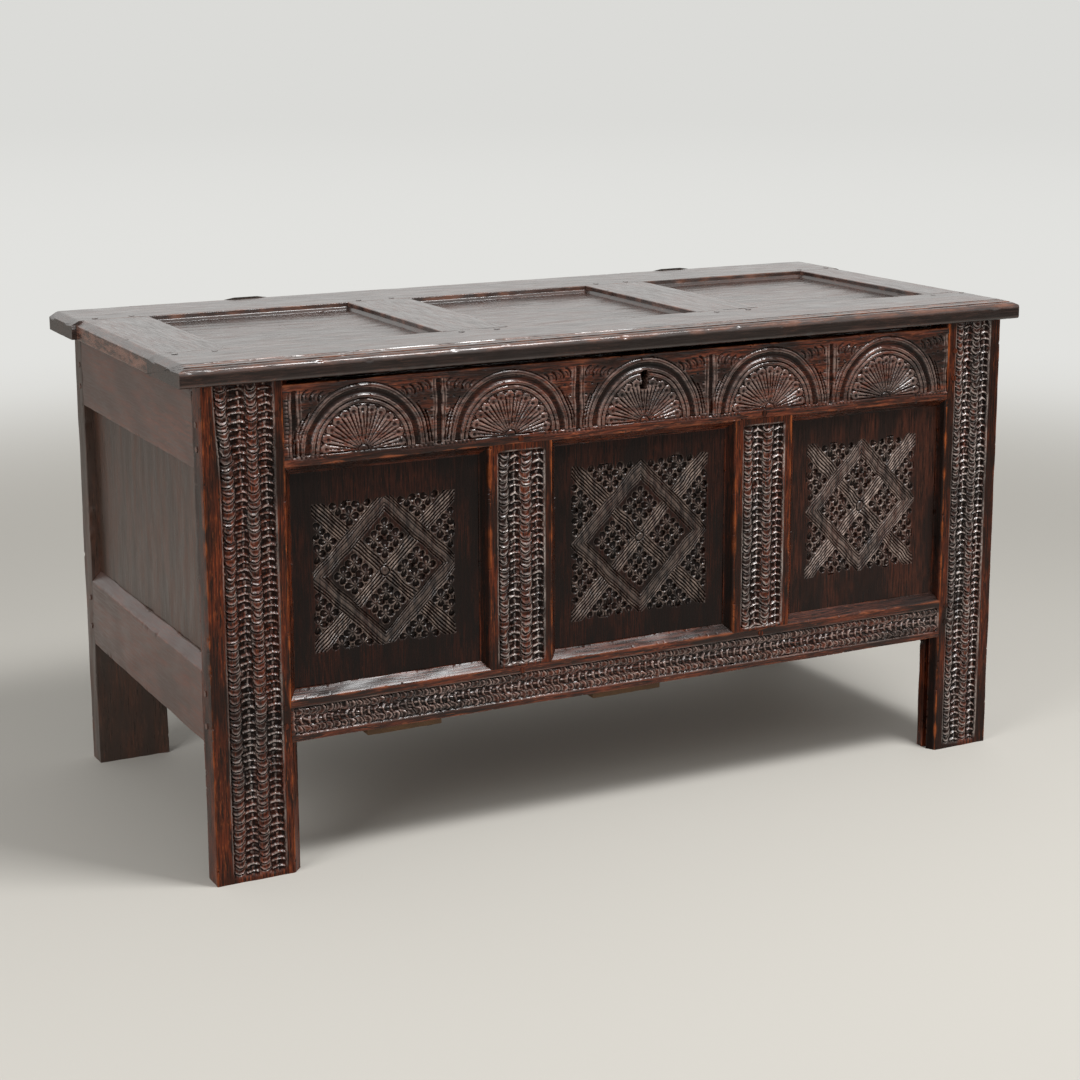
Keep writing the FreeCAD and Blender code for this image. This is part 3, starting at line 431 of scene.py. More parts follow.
def oak(name, grain, dark, warm, rubbed, dust_and_highlight, gloss, rough, warmth, bump=0.0002):
    """Waxed oak with its grain along axis 0, 1 or 2.

    dark is the colour of wax and smoke, warm that of the wood which shows through in streaks
    along the grain, rubbed that of handled edges, and dust_and_highlight that of the carving's
    ridges: pale dust, and a painted highlight.  gloss is the wax's specular level, which handling
    and the cuts' dirt and painted shade dull, rough its roughness, warmth how much of the warm
    wood shows, and bump the depth of the grain in metres."""
    made = material(name)
    tree = made.node_tree
    where = add(tree, "ShaderNodeTexCoord", {}).outputs["Object"]

    def grained(size_mm, length_mm, detail):
        """Noise drawn out along the grain, in patches about that wide and that long."""
        scale = [1.0 / (size_mm * MM)] * 3
        scale[grain] = 1.0 / (length_mm * MM)
        moved = add(tree, "ShaderNodeMapping", {"Vector": where, "Scale": scale})
        return add(tree, "ShaderNodeTexNoise", {"Vector": moved.outputs[0], "Scale": 1.0, "Detail": detail,
                                                "Roughness": 0.6}).outputs["Fac"]

    def blend(factor, one, two):
        """Colour one where factor is 0, and two where it is 1."""
        return add(tree, "ShaderNodeMix", {0: factor, 6: one, 7: two}, data_type="RGBA").outputs[2]

    def of(operation, one, two):
        """The operation on one and two, kept between 0 and 1."""
        return add(tree, "ShaderNodeMath", {0: one, 1: two}, operation=operation, use_clamp=True).outputs[0]

    def between(value, low, high, to_low=0.0, to_high=1.0):
        """to_low where value is below low, to_high above high, and a smooth S between."""
        return add(tree, "ShaderNodeMapRange", {0: value, 1: low, 2: high, 3: to_low, 4: to_high},
                   interpolation_type="SMOOTHSTEP").outputs[0]

    streaks = grained(2.4, 40.0, 5.0)
    patches = grained(45.0, 160.0, 3.0)
    pores = grained(0.9, 9.0, 2.0)         # drawn coarse: real pores are 0.3 mm wide
    flecks = grained(1.6, 14.0, 2.0)
    cloud = grained(8.0, 34.0, 4.0)
    edge, sunk, ridge = (add(tree, "ShaderNodeAttribute", {}, attribute_name=key).outputs["Fac"]
                         for key in ("edge", "sunk", "ridge"))

    bare = between(patches, 0.36, 0.62)
    shown = of("MULTIPLY", between(bare, 0.0, 1.0, 0.15, 1.0), between(streaks, 0.34, 0.70))
    colour = blend(of("MULTIPLY", shown, warmth), tone(dark), tone(warm))
    fleck = of("MULTIPLY", of("MULTIPLY", bare, between(flecks, 0.56, 0.70)), of("MULTIPLY", warmth, 0.5))
    colour = blend(fleck, colour, tone(rubbed))
    handled = of("MULTIPLY", edge, between(cloud, 0.36, 0.62, 0.10, 1.0))
    colour = blend(handled, colour, tone(rubbed))
    # Ridges take the pale dust colour, which also stands for painted highlights on them.
    colour = blend(of("MULTIPLY", ridge, between(cloud, 0.36, 0.64, 0.05, 1.0)), colour, tone(dust_and_highlight))
    # Sunk parts go toward that dark colour: painted shade together with the cuts' dirt.
    colour = blend(of("MULTIPLY", sunk, 0.95), colour, tone(SHADE_AND_SOOT))
    shine = between(streaks, 0.3, 0.7, rough - 0.06, rough + 0.10)
    # The handled edges, and the sunk parts with their dirt and painted shade, lose some of the wax's shine.
    dull = of("ADD", of("MULTIPLY", edge, 0.5 * gloss), of("MULTIPLY", sunk, 0.7 * gloss))
    polish = of("ADD", of("MULTIPLY", ridge, 0.75), of("SUBTRACT", gloss, dull))
    grooves = of("ADD", of("MULTIPLY", streaks, 0.65), of("MULTIPLY", pores, 0.35))
    bumped = add(tree, "ShaderNodeBump", {"Strength": 1.0, "Distance": bump, "Height": grooves})
    wood = add(tree, "ShaderNodeBsdfPrincipled", {"Base Color": colour, "Roughness": shine,
                                                  "Specular IOR Level": polish, "Normal": bumped.outputs[0]})
    add(tree, "ShaderNodeOutputMaterial", {"Surface": wood.outputs[0]})
    return made


X_AXIS = (1.0, 0.0, 0.0)
Y_AXIS = (0.0, 1.0, 0.0)
Z_AXIS = (0.0, 0.0, 1.0)
DOWN = (0.0, 0.0, -1.0)
UP_THE_FRONT = (Z_AXIS, X_AXIS, Y_AXIS)        # along, across, into
ALONG_THE_FRONT = (X_AXIS, Z_AXIS, Y_AXIS)
GROOVE = 8.0
GROOVE_DEPTH = 9.0


def grooved(sight, recess, inward):
    """The four corners of a panel groove in a member's edge, whose wood lies on the inward side."""
    return [(sight, recess, 0.3, 8.0), (sight + inward * GROOVE_DEPTH, recess, 0.0, 8.0),
            (sight + inward * GROOVE_DEPTH, recess + GROOVE, 0.0, 8.0), (sight, recess + GROOVE, 0.0, 8.0)]


# ---------------------------------------------------------- front stiles
# Two oak posts that run from the lid down to the floor as feet.  The front is cut with four
# columns of thumbnail gouge cuts, and the inner arris is bevelled down to the panels.
RECESS = 14.0                              # of the panels behind the frame's face
LEFT_BEVEL = 12.0
RIGHT_BEVEL = 8.0
STILE_PITCH = 10.6
STILE_CUT = 3.8
LANES = (-0.55, 0.0, 1.0, 2.0, 3.0, 3.55)  # from one edge of the carved strip to the other
FRONT_Y = limits("front_stile_left")[0][1]
# Its fourth colour is the carving ridges' pale dust and painted highlight.
FRONT_UPRIGHT_OAK = oak("smoked_oak_upright", 2, "#180c07", "#662a12", "#9a5028", "#a0928a", 0.20, 0.27, 0.95)


def groove(x, half, depth):
    """A round-bottomed cut of parabolic section about x = 0."""
    return -depth * np.clip(1.0 - (x / half) ** 2, 0.0, 1.0)


TONGUE_HALF = 0.47                         # half the width of a row of tongues, in lanes
SCALE_HALF = 0.53


def gouge_chain(travel, lane, cut_pitch, depth, seed):
    """Rows of thumbnail cuts, made by stabbing a gouge and slicing up to the stab.

    lane is 0 at the middle of the first row, 1 at the second, and so on.  Each row repeats at
    cut_pitch of travel.  Even rows are overlapping tongues: their edge is a half circle that
    reaches ahead by nearly a pitch, with a narrow black stab under it, and the tongue swells
    from its body to a nose at its tip.  Odd rows are scales: a flat arch that reaches back, a
    deep hollow under it that rises steeply to the next arch, and a stem in the middle.  The
    rows part at a deep line."""
    lane = lane + 0.05 * speckle(travel, lane, 30.0, 2.0, seed)
    from_tongue = np.abs((lane + 1.0) % 2.0 - 1.0)
    tongue = from_tongue < TONGUE_HALF
    aside = np.where(tongue, from_tongue / TONGUE_HALF, (1.0 - from_tongue) / SCALE_HALF)
    aside = np.clip(aside, 0.0, 1.0)
    reach = np.where(tongue, 0.85 * cut_pitch * np.sqrt(1.0 - 0.98 * aside ** 2), -3.2 * (1.0 - aside ** 2))
    uneven = 0.7 * speckle(travel, lane * 18.0, 24.0, 45.0, seed + 1)
    phase = (travel - reach + uneven) / cut_pitch
    phase = phase - np.floor(phase)
    stab = ramp(phase, 0.0, 0.06)
    nose = ramp(phase, 0.60, 0.93) * (1.0 - aside ** 2)
    body = 0.55 + 0.30 * aside ** 2 - 0.55 * nose + 0.45 * ramp(-phase, -0.26, -0.12)
    hollow = 1.0 - ramp(phase, 0.68, 0.96) * (1.0 - ramp(aside, 0.74, 0.98))
    stem = 0.30 * ramp(-aside, -0.22, -0.08) * ramp(phase, 0.16, 0.34)
    cut = stab * np.where(tongue, body, np.maximum(hollow - stem, 0.0))
    parting = 0.75 * ramp(aside, 0.80, 1.0)
    strength = 1.0 + 0.12 * speckle(travel, lane * 18.0, 20.0, 16.0, seed + 2)
    return -depth * strength * np.maximum(cut, parting)


def band(x, low, high, soft=1.2):
    """1 between low and high, falling to 0 over soft on each side."""
    return ramp(x, low - soft, low + soft) * ramp(-x, -high - soft, -high + soft)


def no_added_dust_and_highlight(along, across):
    """No added share of pale dust and painted highlight on the carving's ridges: none anywhere."""
    return 0.0 * (along + across)


def stile(name, node, face, bevel, row_places, lean, inward, seed):
    """A post with a face that wide, and then a bevel; across is measured from its outer side.

    row_places are where the LANES lie across it.  The outer column leans out by lean mm near
    the top.  inward is 1 on the left post and -1 on the right one."""
    low, high = limits(node)
    outer = low[0] if inward > 0 else high[0]
    thick = high[1] - low[1]
    corners = [(0.0, 0.0, 1.6, 1.1), (face, 0.0, 2.0, 3.0)] + grooved(face + bevel, RECESS, -1.0) + [
        (face + bevel, thick, 2.0, 9.0), (0.0, thick, 2.0, 6.0)]

    def carve(along, across):
        """The four columns of cuts, which stop short of the floor."""
        shifted = across + lean * ramp(along, 540.0, 690.0) * ramp(-across, -52.0, -40.0)
        lane = np.interp(shifted, row_places, LANES) + (inward < 0.0)
        cut = gouge_chain(high[2] - along, lane, STILE_PITCH, STILE_CUT, seed)
        return cut * band(shifted, row_places[0] + 1.0, row_places[-1] - 1.0, 2.0) * ramp(along, 4.0, 14.0)

    # The right post's bevel is painted dark, as shade with grime; the left post's ridges take less pale dust
    # and painted highlight.
    piece = member(name, (Z_AXIS, (inward, 0.0, 0.0), Y_AXIS), (outer, low[1], 0.0), corners,
                   square_ends(low[2], high[2]), stations([low[2], high[2]], [1.13]), carve,
                   [(0, 0.75), (1, 1.0)], seed, shaded_and_grimy=[(1, 0.85)] if inward < 0.0 else [],
                   dust_and_highlight_share=no_added_dust_and_highlight if inward > 0.0 else None)
    dress(piece, "chest", node, FRONT_UPRIGHT_OAK)


stile("carved_stile_left", "front_stile_left", 113.0, LEFT_BEVEL,
      [24.0, 34.0, 53.0, 69.5, 88.5, 100.0], 7.0, 1.0, 11)
stile("carved_stile_right", "front_stile_right", 99.0, RIGHT_BEVEL,
      [20.0, 29.5, 43.0, 60.5, 76.0, 84.0], 0.0, -1.0, 21)

# ------------------------------------------------------------ front rails
# The top rail carries five lunettes between upright bars, and the bottom rail three rows of
# thumbnail cuts.  Their shoulders are scribed over the stiles' bevels.
LEFT_ARRIS = limits("front_stile_left")[1][0] - LEFT_BEVEL
RIGHT_ARRIS = limits("front_stile_right")[0][0] + RIGHT_BEVEL
RAIL_BEVEL = 13.0
RAIL_BACK = 28.0
TENON = 30.0
RAIL_CUT = 3.4
JOINER_X = limits("front_stile_left")[0][0]        # the carving is set out from the left side
# Its fourth colour is the carving ridges' pale dust and painted highlight.
FRONT_LONG_OAK = oak("smoked_oak_long", 0, "#180e0a", "#68301c", "#a05a3a", "#967c72", 0.30, 0.22, 0.95)


def scribed(low, high, low_bevel, high_bevel):
    """Ends that follow the bevels of the members at both shoulders."""
    def ends(depth):
        over = np.clip(depth / RECESS, 0.0, 1.0)
        return low + low_bevel * over, high - high_bevel * over
    return ends


BAR_PLACES = (129.0, 340.0, 555.0, 774.0, 985.0, 1203.0)
BOSS_PLACES = (228.0, 448.0, 663.0, 876.0, 1086.0)     # the lunettes' centres
BASE_LINE = 584.0                                      # and their height
FLUTES = 13
KEYHOLE_PLACE = (663.0, 652.0)                         # of its eye
KEYHOLE_DEPTH = 26.0


def lunette(x, z):
    """An arch of mouldings round a fan of flutes; x from the boss, z from the base line.

    The height is a function of the radius, with parabolic grooves at fixed radii and a deep
    round cove between 76 and 85 mm.  Inside 62.6 mm it follows the angle too: each flute is a
    ridge with a cut down its middle, and ends in a round lobe with a curl pricked in it."""
    r = np.hypot(x, z)
    turn = np.arctan2(np.maximum(z, 0.0), x) / math.pi * FLUTES
    cove = np.clip(1.0 - ((r - 80.6) / 4.6) ** 2, 0.0, 1.0)
    cut = groove(r - 91.8, 1.6, 2.0) - 3.4 * np.sqrt(cove) - 1.2 * band(r, 84.2, 85.6, 0.5)
    cut += groove(r - 70.6, 1.5, 2.4) + groove(r - 64.0, 1.6, 2.6)
    part = (turn - np.floor(turn) - 0.5) * 2.0
    rib = np.abs(part) * math.pi * r / FLUTES / 2.0
    flute = -0.3 - 3.0 * ramp(part ** 2, 0.30, 1.0) * ramp(r, 6.0, 14.0)
    flute += groove(rib, 1.2, 2.2) * ramp(r, 24.0, 34.0) * ramp(-r, -53.0, -49.0)
    half_lobe = math.pi * 56.0 / FLUTES / 2.0
    lobe = np.hypot(r - 56.2, rib * 56.0 / np.maximum(r, 1.0)) / (half_lobe * 0.95)
    curl = np.hypot(r - 54.8, (part - 0.12) * half_lobe) / (half_lobe * 0.52)
    tip = np.where(lobe < 1.0, -0.2 - lobe ** 4 + groove(curl, 1.0, 2.4), -3.4)
    fan = np.where(r > 52.0, tip, flute)
    fan = np.where(r < 9.0, groove(r - 8.0, 1.6, 2.2) - 0.8 * ramp(-r, -2.6, -1.4), fan)
    cut += np.where(r < 62.6, fan, 0.0)
    return np.where(z > 0.0, cut, 0.0)


def spandrel(x, z, r):
    """Beside a bar: lines that follow the arch, curled strokes above, and dots; x from the bar."""
    cut = np.zeros_like(x)
    for k in range(2):
        cut += groove(r - 97.0 - 4.2 * k, 1.3, 1.8) * ramp(-z, -64.0 + 10.0 * k, -52.0 + 10.0 * k)
    for k in range(4):
        reach = np.hypot(x - 22.5 - 11.5 * k, z - 77.0 + 2.0 * k)
        bearing = np.arctan2(x - 22.5 - 11.5 * k, z - 77.0 + 2.0 * k)
        stroke = groove(reach - 10.5, 2.1, 2.6) + groove(reach - 5.6, 1.3, 1.6)
        cut = np.minimum(cut, stroke * band(bearing, -1.95, -0.15, 0.25))
    for along, up in ((12.0, 64.0), (22.0, 62.5), (31.0, 60.0), (12.5, 48.0), (20.5, 46.0), (11.5, 36.0)):
        cut += groove(np.hypot(x - along, (z - up) * 1.3), 2.5, 2.2)
    return np.where((r > 93.6) & (x > 8.5) & (z > 2.0) & (z < 91.0), cut, 0.0)


def keyhole(x, z):
    """A round eye over a slot, x and z from the eye, worn wide at the mouth by the key: to 6.8 mm
    round the eye, and from 3.6 to 5.2 mm each side of the slot as it goes down."""
    eye = np.hypot(x, z) - 6.8
    slot = np.maximum(np.abs(x + 0.6) - 3.6 - 0.1 * np.clip(-4.0 - z, 0.0, 16.0), np.abs(z + 11.0) - 10.0)
    return np.where(np.minimum(eye, slot) < 0.0, -KEYHOLE_DEPTH, 0.0)


def top_rail_carving(along, up):
    """The lunettes, with bars and spandrels between them, nicks along the foot of their arches,
    a comb of short cuts at the left end, open grain along the worn top edge, and the keyhole."""
    x = along - JOINER_X
    z = up - BASE_LINE
    x = x + 0.5 * speckle(x, z, 120.0, 90.0, 41)
    z = z + 0.4 * speckle(x, z, 120.0, 90.0, 42)
    cut = np.zeros_like(x)
    for boss in BOSS_PLACES:
        near = np.abs(x - boss) < 96.0
        cut[near] += lunette(x[near] - boss, z[near])
    for bar in BAR_PLACES:
        from_bar = x - bar
        strip = -3.6 * band(from_bar, -3.4, 3.4, 0.9) + groove(np.abs(from_bar) - 7.6, 1.1, 1.3)
        cut += strip * band(z, -2.0, 88.0)
        for boss in BOSS_PLACES:
            if abs(boss - bar) < 125.0:
                facing = 1.0 if boss > bar else -1.0
                cut += spandrel(facing * from_bar, z, np.hypot(x - boss, z))
    nick = (x / 6.4) - np.floor(x / 6.4) - 0.5
    foot = np.min([np.abs(np.abs(x - boss) - 80.0) for boss in BOSS_PLACES], axis=0)
    cut += groove(nick, 0.34, 1.5) * band(z, -5.0, -1.5, 0.8) * (foot < 27.0)
    cut += groove(z + 0.2, 1.1, 1.2)
    worn_grain = np.clip(speckle(x, z, 90.0, 2.4, 43), 0.0, 2.0) * 0.35
    cut -= worn_grain * ramp(z, 84.0, 92.0)
    comb = (z / 5.6) - np.floor(z / 5.6) - 0.5
    cut += groove(comb, 0.32, 1.3) * band(x, 115.0, 121.0, 1.0) * band(z, 12.0, 80.0)
    return cut * ramp(up, 574.0, 577.0) + keyhole(along - JOINER_X - KEYHOLE_PLACE[0], up - KEYHOLE_PLACE[1])


FIRST_ROW = 229.5                          # height of the middle of the bottom rail's upper row
ROW_HEIGHT = 13.0
ROWS_START = 118.0
ROWS_END = 1198.0
BOTTOM_PITCH = 11.0


def bottom_rail_carving(along, up):
    """Three rows of thumbnail cuts that run along the rail between its two ends."""
    x = along - JOINER_X
    lane = (FIRST_ROW - up) / ROW_HEIGHT
    cut = gouge_chain(x, lane, BOTTOM_PITCH, RAIL_CUT, 51)
    return cut * band(x, ROWS_START, ROWS_END) * band(lane * ROW_HEIGHT, -6.0, 31.5)


low, high = limits("front_top_rail")
top_opening = limits("front_muntin_left")[1][2] - TENON + RAIL_BEVEL
corners = [(high[2], 0.0, 3.2, 1.2), (top_opening, 0.0, 1.4, 3.0)]
corners += grooved(top_opening - RAIL_BEVEL, RECESS, 1.0)
corners += [(top_opening - RAIL_BEVEL, RAIL_BACK, 1.5, 16.0), (high[2], RAIL_BACK, 1.5, 14.0)]
# The top rail's cuts take less painted shade than the rest, so the cove stays brown, and its ridges less pale
# dust and painted highlight.
top_rail = member("carved_top_rail", ALONG_THE_FRONT, (0.0, FRONT_Y, 0.0), corners,
                  scribed(LEFT_ARRIS, RIGHT_ARRIS, LEFT_BEVEL, RIGHT_BEVEL),
                  stations([LEFT_ARRIS, RIGHT_ARRIS], [1.5]), top_rail_carving, [(0, 1.0), (1, 0.9)], 31,
                  dust_and_highlight_share=no_added_dust_and_highlight, cut_shade_and_soot=0.64)
dress(top_rail, "chest", "front_top_rail", FRONT_LONG_OAK)

low, high = limits("front_bottom_rail")
bottom_opening = high[2] - RAIL_BEVEL
corners = [(low[2], 0.0, 3.0, 1.15), (bottom_opening, 0.0, 1.6, 3.0)]
corners += grooved(high[2], RECESS, -1.0)
corners += [(high[2], RAIL_BACK, 1.5, 12.0), (low[2], RAIL_BACK, 1.5, 9.0)]
# Its bevel under the panels is painted half dark, as shade with grime.
bottom_rail = member("carved_bottom_rail", ALONG_THE_FRONT, (0.0, FRONT_Y, 0.0), corners,
                     scribed(LEFT_ARRIS, RIGHT_ARRIS, LEFT_BEVEL, RIGHT_BEVEL),
                     stations([LEFT_ARRIS, RIGHT_ARRIS], [1.25]), bottom_rail_carving,
                     [(0, 0.6), (1, 0.6)], 35, chips=0.8, shaded_and_grimy=[(1, 0.45)])
dress(bottom_rail, "chest", "front_bottom_rail", FRONT_LONG_OAK)

# ---------------------------------------------------------- front muntins
# Two short posts between the rails, with the same four columns of gouge cuts as the stiles.
# They are tenoned into the rails, and bevelled on both sides down to the panels.
MUNTIN_BEVEL = 12.0
MUNTIN_FACE = 97.0
MUNTIN_PITCH = 10.7
MUNTIN_CUT = 3.8


def muntin(name, node, row_places, seed):
    """row_places are where the LANES lie across it, from its middle."""
    low, high = limits(node)
    centre = (low[0] + high[0]) / 2.0
    half = MUNTIN_FACE / 2.0
    wide = half + MUNTIN_BEVEL
    far_groove = grooved(-wide, RECESS, 1.0)[::-1]
    far_groove[-1] = (-wide, RECESS, 0.3, 3.0)
    corners = [(-half, 0.0, 1.6, 1.1), (half, 0.0, 2.0, 3.0)] + grooved(wide, RECESS, -1.0)
    corners += [(wide, RAIL_BACK, 1.5, 9.0), (-wide, RAIL_BACK, 1.5, 9.0)] + far_groove

    def carve(along, across):
        """The four columns of cuts, which stop short of the rails."""
        lane = np.interp(across, row_places, LANES)
        cut = gouge_chain(top_opening - along, lane, MUNTIN_PITCH, MUNTIN_CUT, seed)
        strip = band(across, row_places[0] + 1.0, row_places[-1] - 1.0, 2.0)
        return cut * strip * band(along, bottom_opening + 5.0, top_opening - 11.0, 2.0)

    # The bevel on its left is painted dark, as shade with grime.
    piece = member(name, UP_THE_FRONT, (centre, FRONT_Y, 0.0), corners,
                   scribed(bottom_opening, top_opening, RAIL_BEVEL, RAIL_BEVEL),
                   stations([bottom_opening, top_opening], [1.0]), carve, [(0, 0.8), (1, 1.0)], seed,
                   shaded_and_grimy=[(len(corners) - 1, 0.85)])
    dress(piece, "chest", node, FRONT_UPRIGHT_OAK)


muntin("carved_muntin_left", "front_muntin_left", [-36.0, -27.0, -9.9, 7.9, 27.0, 36.5], 61)
muntin("carved_muntin_right", "front_muntin_right", [-35.0, -26.0, -9.0, 8.5, 26.5, 36.0], 66)

# ----------------------------------------------------------- front panels
# Three thin boards of oak with the grain upright, each cut with a lozenge of mouldings over a
# saltire of flutes, and gouged flowers between them.  Their edges sit in the frame's grooves.
CELL = 11.4                                # a quarter of a flower
BAND = 22.5                                # width of the lozenge's mouldings
SALTIRE = 9.2                              # half the width of the saltire inside the lozenge
CORNER_SALTIRE = 11.6                      # and outside it
LOZENGE_LINES = ((1.5, 1.3, 2.0), (5.0, 1.2, 1.7), (8.4, 1.1, 1.4), (14.2, 1.0, 1.1), (17.6, 1.2, 1.7),
                 (21.0, 1.3, 2.0))         # each line's place, half width and depth
SALTIRE_LINES = ((2.1, 1.3, 2.4), (6.2, 1.3, 2.4), (10.1, 1.2, 2.2))
FEATHER = 34.0                             # a board's back is thinned this far in from its edges
# Their fourth colours are the carving ridges' pale dust and painted highlight, paler on the right-hand board.
PANEL_OAK = oak("smoked_oak_panel", 2, "#110a08", "#34170e", "#4c2618", "#8a766a", 0.16, 0.26, 0.8)
DUSTY_HIGHLIT_PANEL_OAK = oak("dusty_highlit_oak_panel", 2, "#170e0b", "#4c2619", "#5c3626", "#b09a8e", 0.18, 0.30, 0.9)


def flowers(p, q, limit, seed):
    """Four-petalled flowers in pairs of CELLs, with one gouge cut for each petal.

    u runs out from the flower's middle along the petal and v across it.  The petal widens and
    deepens outwards to where the gouge was stabbed.  limit(p, q) is the room left round a
    petal's centre."""
    i = np.floor(p / CELL)
    j = np.floor(q / CELL)
    flower_p = (np.floor(i / 2.0) + 0.5) * 2.0 * CELL
    flower_q = (np.floor(j / 2.0) + 0.5) * 2.0 * CELL
    petal_p = flower_p + np.where(i % 2 == 0, -0.46, 0.46) * CELL
    petal_q = flower_q + np.where(j % 2 == 0, -0.46, 0.46) * CELL
    jolt = 0.8 * np.sin(12.9898 * i + 78.233 * j + seed)
    u = (np.abs(p - flower_p) + np.abs(q - flower_q)) / math.sqrt(2.0) + jolt
    v = (np.abs(p - flower_p) - np.abs(q - flower_q)) / math.sqrt(2.0) + 0.6 * jolt
    along = np.clip((u - 1.5) / 12.0, 0.0, 1.0) ** 1.35
    wide = 11.4 * np.sqrt(along * (1.0 - along))
    fits = (limit(petal_p, petal_q) > 3.4) & (p > 0.0) & (q > 0.0)
    seed_drop = np.clip(1.0 - (v / 1.5) ** 2 - ((u - 4.6) / 2.4) ** 2, 0.0, 1.0)
    petal = -3.5 * ramp(wide - np.abs(v), 0.0, 1.5) * (0.35 + 0.65 * along) + 1.5 * seed_drop
    return np.where(fits, np.minimum(petal, 0.0), 0.0)


def diagonals(x, z):
    """The larger and the smaller of a point's distances from the middle along the two diagonals."""
    a = np.abs(x + z) / math.sqrt(2.0)
    b = np.abs(x - z) / math.sqrt(2.0)
    return np.maximum(a, b), np.minimum(a, b)


def lozenge_panel(x, z, half, outer, seed):
    """Height of a carved square of the half width, with a lozenge whose sides are outer from its middle.

    Bands of constant m make the lozenge's mouldings, bands of constant n the saltire's flutes,
    and the rest holds flowers."""
    m, n = diagonals(x, z)
    from_edge = outer - m
    inner = outer - BAND
    lozenge = sum(groove(from_edge - place, wide, depth) for place, wide, depth in LOZENGE_LINES)
    flutes = sum(groove(n - place, wide, depth) for place, wide, depth in SALTIRE_LINES)

    def room_inside(p, q):
        """The distance to the lozenge's mouldings."""
        return np.minimum(inner - SALTIRE - p, inner - SALTIRE - q)

    def room_outside(p, q):
        """The distance to the field's side."""
        return half - (outer + CORNER_SALTIRE + p + q) / math.sqrt(2.0)

    inside = flowers(m - SALTIRE - 0.3, n - SALTIRE - 0.3, room_inside, seed)
    outside = flowers(m - outer - 0.3, n - CORNER_SALTIRE - 0.3, room_outside, seed + 1)
    border = half - np.maximum(np.abs(x), np.abs(z))
    along_border = np.abs(np.minimum(np.abs(x), np.abs(z)) - 0.52 * half)
    tee = np.maximum(band(border, 0.0, 1.6, 0.6) * band(along_border, -6.0, 6.0, 1.0),
                     band(along_border, -0.9, 0.9, 0.6) * band(border, 0.0, 7.0, 0.8))
    outside = np.minimum(outside, -1.8 * tee)
    cut = np.where(m < inner, np.where(n < SALTIRE, flutes, inside), lozenge)
    cut = np.where(m > outer, np.where(n < CORNER_SALTIRE, flutes, outside), cut)
    r = np.hypot(x, z)
    boss = groove(r - 6.8, 1.7, 2.4) - 0.6 * ramp(-r, -2.6, -1.2)
    cut = np.where(r < 8.6, boss, cut)
    return np.where(np.maximum(np.abs(x), np.abs(z)) < half, cut, 0.0)


def feathered(low, high, thick):
    """The section of a board from low to high, with its back thinned to PANEL_EDGE over FEATHER."""
    return [(low, 0.0, 0.0, 5.0), (high, 0.0, 0.0, 8.0), (high, PANEL_EDGE, 0.0, 8.0),
            (high - FEATHER, thick, 0.0, 20.0), (low + FEATHER, thick, 0.0, 8.0),
            (low, PANEL_EDGE, 0.0, 8.0)]


def panel(name, node, centre, half_wide, half_high, spread, seed, finish):
    """A board with a carved field of those half sizes about its centre.

    spread is how far out the lozenge's points reach, where 1 is the field's sides."""
    low, high = limits(node)
    half = (half_wide + half_high) / 2.0
    middle = JOINER_X + centre[0]
    left, right = middle - half_wide - 2.0, middle + half_wide + 2.0
    bottom, top = centre[1] - half_high - 2.0, centre[1] + half_high + 2.0
    corners = feathered(low[0], high[0], high[1] - low[1])
    corners[1:1] = [(left, 0.0, 0.0, 0.9), (right, 0.0, 0.0, 5.0)]
    outer = half / math.sqrt(2.0) * spread

    def drawn(along, across):
        """The point's place from the middle, in a square of that half, as an uneven hand drew it."""
        x = (across - middle) * half / half_wide
        z = (along - centre[1]) * half / half_high
        return x + 0.6 * speckle(x, z, 50.0, 50.0, seed), z + 0.6 * speckle(x, z, 50.0, 50.0, seed + 5)

    def carve(along, across):
        """The height of the lozenge panel as it was drawn."""
        return lozenge_panel(*drawn(along, across), half, outer, seed)

    def dust_and_highlight_share(along, across):
        """The share of pale dust and painted highlight: 1 on the lozenge's mouldings and on the saltire,
        inside the field.
        """
        x, z = drawn(along, across)
        m, n = diagonals(x, z)
        saltire = np.where(m > outer, band(n, -1.0, CORNER_SALTIRE, 0.4), band(n, -1.0, SALTIRE, 0.4))
        lines = np.maximum(band(m, outer - BAND, outer, 0.4), saltire)
        return lines * band(np.maximum(np.abs(x), np.abs(z)), -1.0, half, 0.5)

    rows = stations([low[2], bottom, top, high[2]], [5.0, 0.9, 5.0])
    # The boards' cuts take a little less painted shade than the frame's.
    piece = member(name, UP_THE_FRONT, (0.0, low[1], 0.0), corners, square_ends(low[2], high[2]), rows,
                   carve, [], seed, chips=0.0, feather=FEATHER, dust_and_highlight_share=dust_and_highlight_share, cut_shade_and_soot=0.76)
    dress(piece, "chest", node, finish)


panel("carved_panel_left", "front_panel_left", (261.0, 409.0), 105.5, 104.0, 1.11, 71, PANEL_OAK)
panel("carved_panel_middle", "front_panel_middle", (664.5, 411.0), 113.5, 114.0, 1.03, 75, PANEL_OAK)
panel("carved_panel_right", "front_panel_right", (1054.0, 415.0), 100.0, 103.5, 1.04, 79, DUSTY_HIGHLIT_PANEL_OAK)

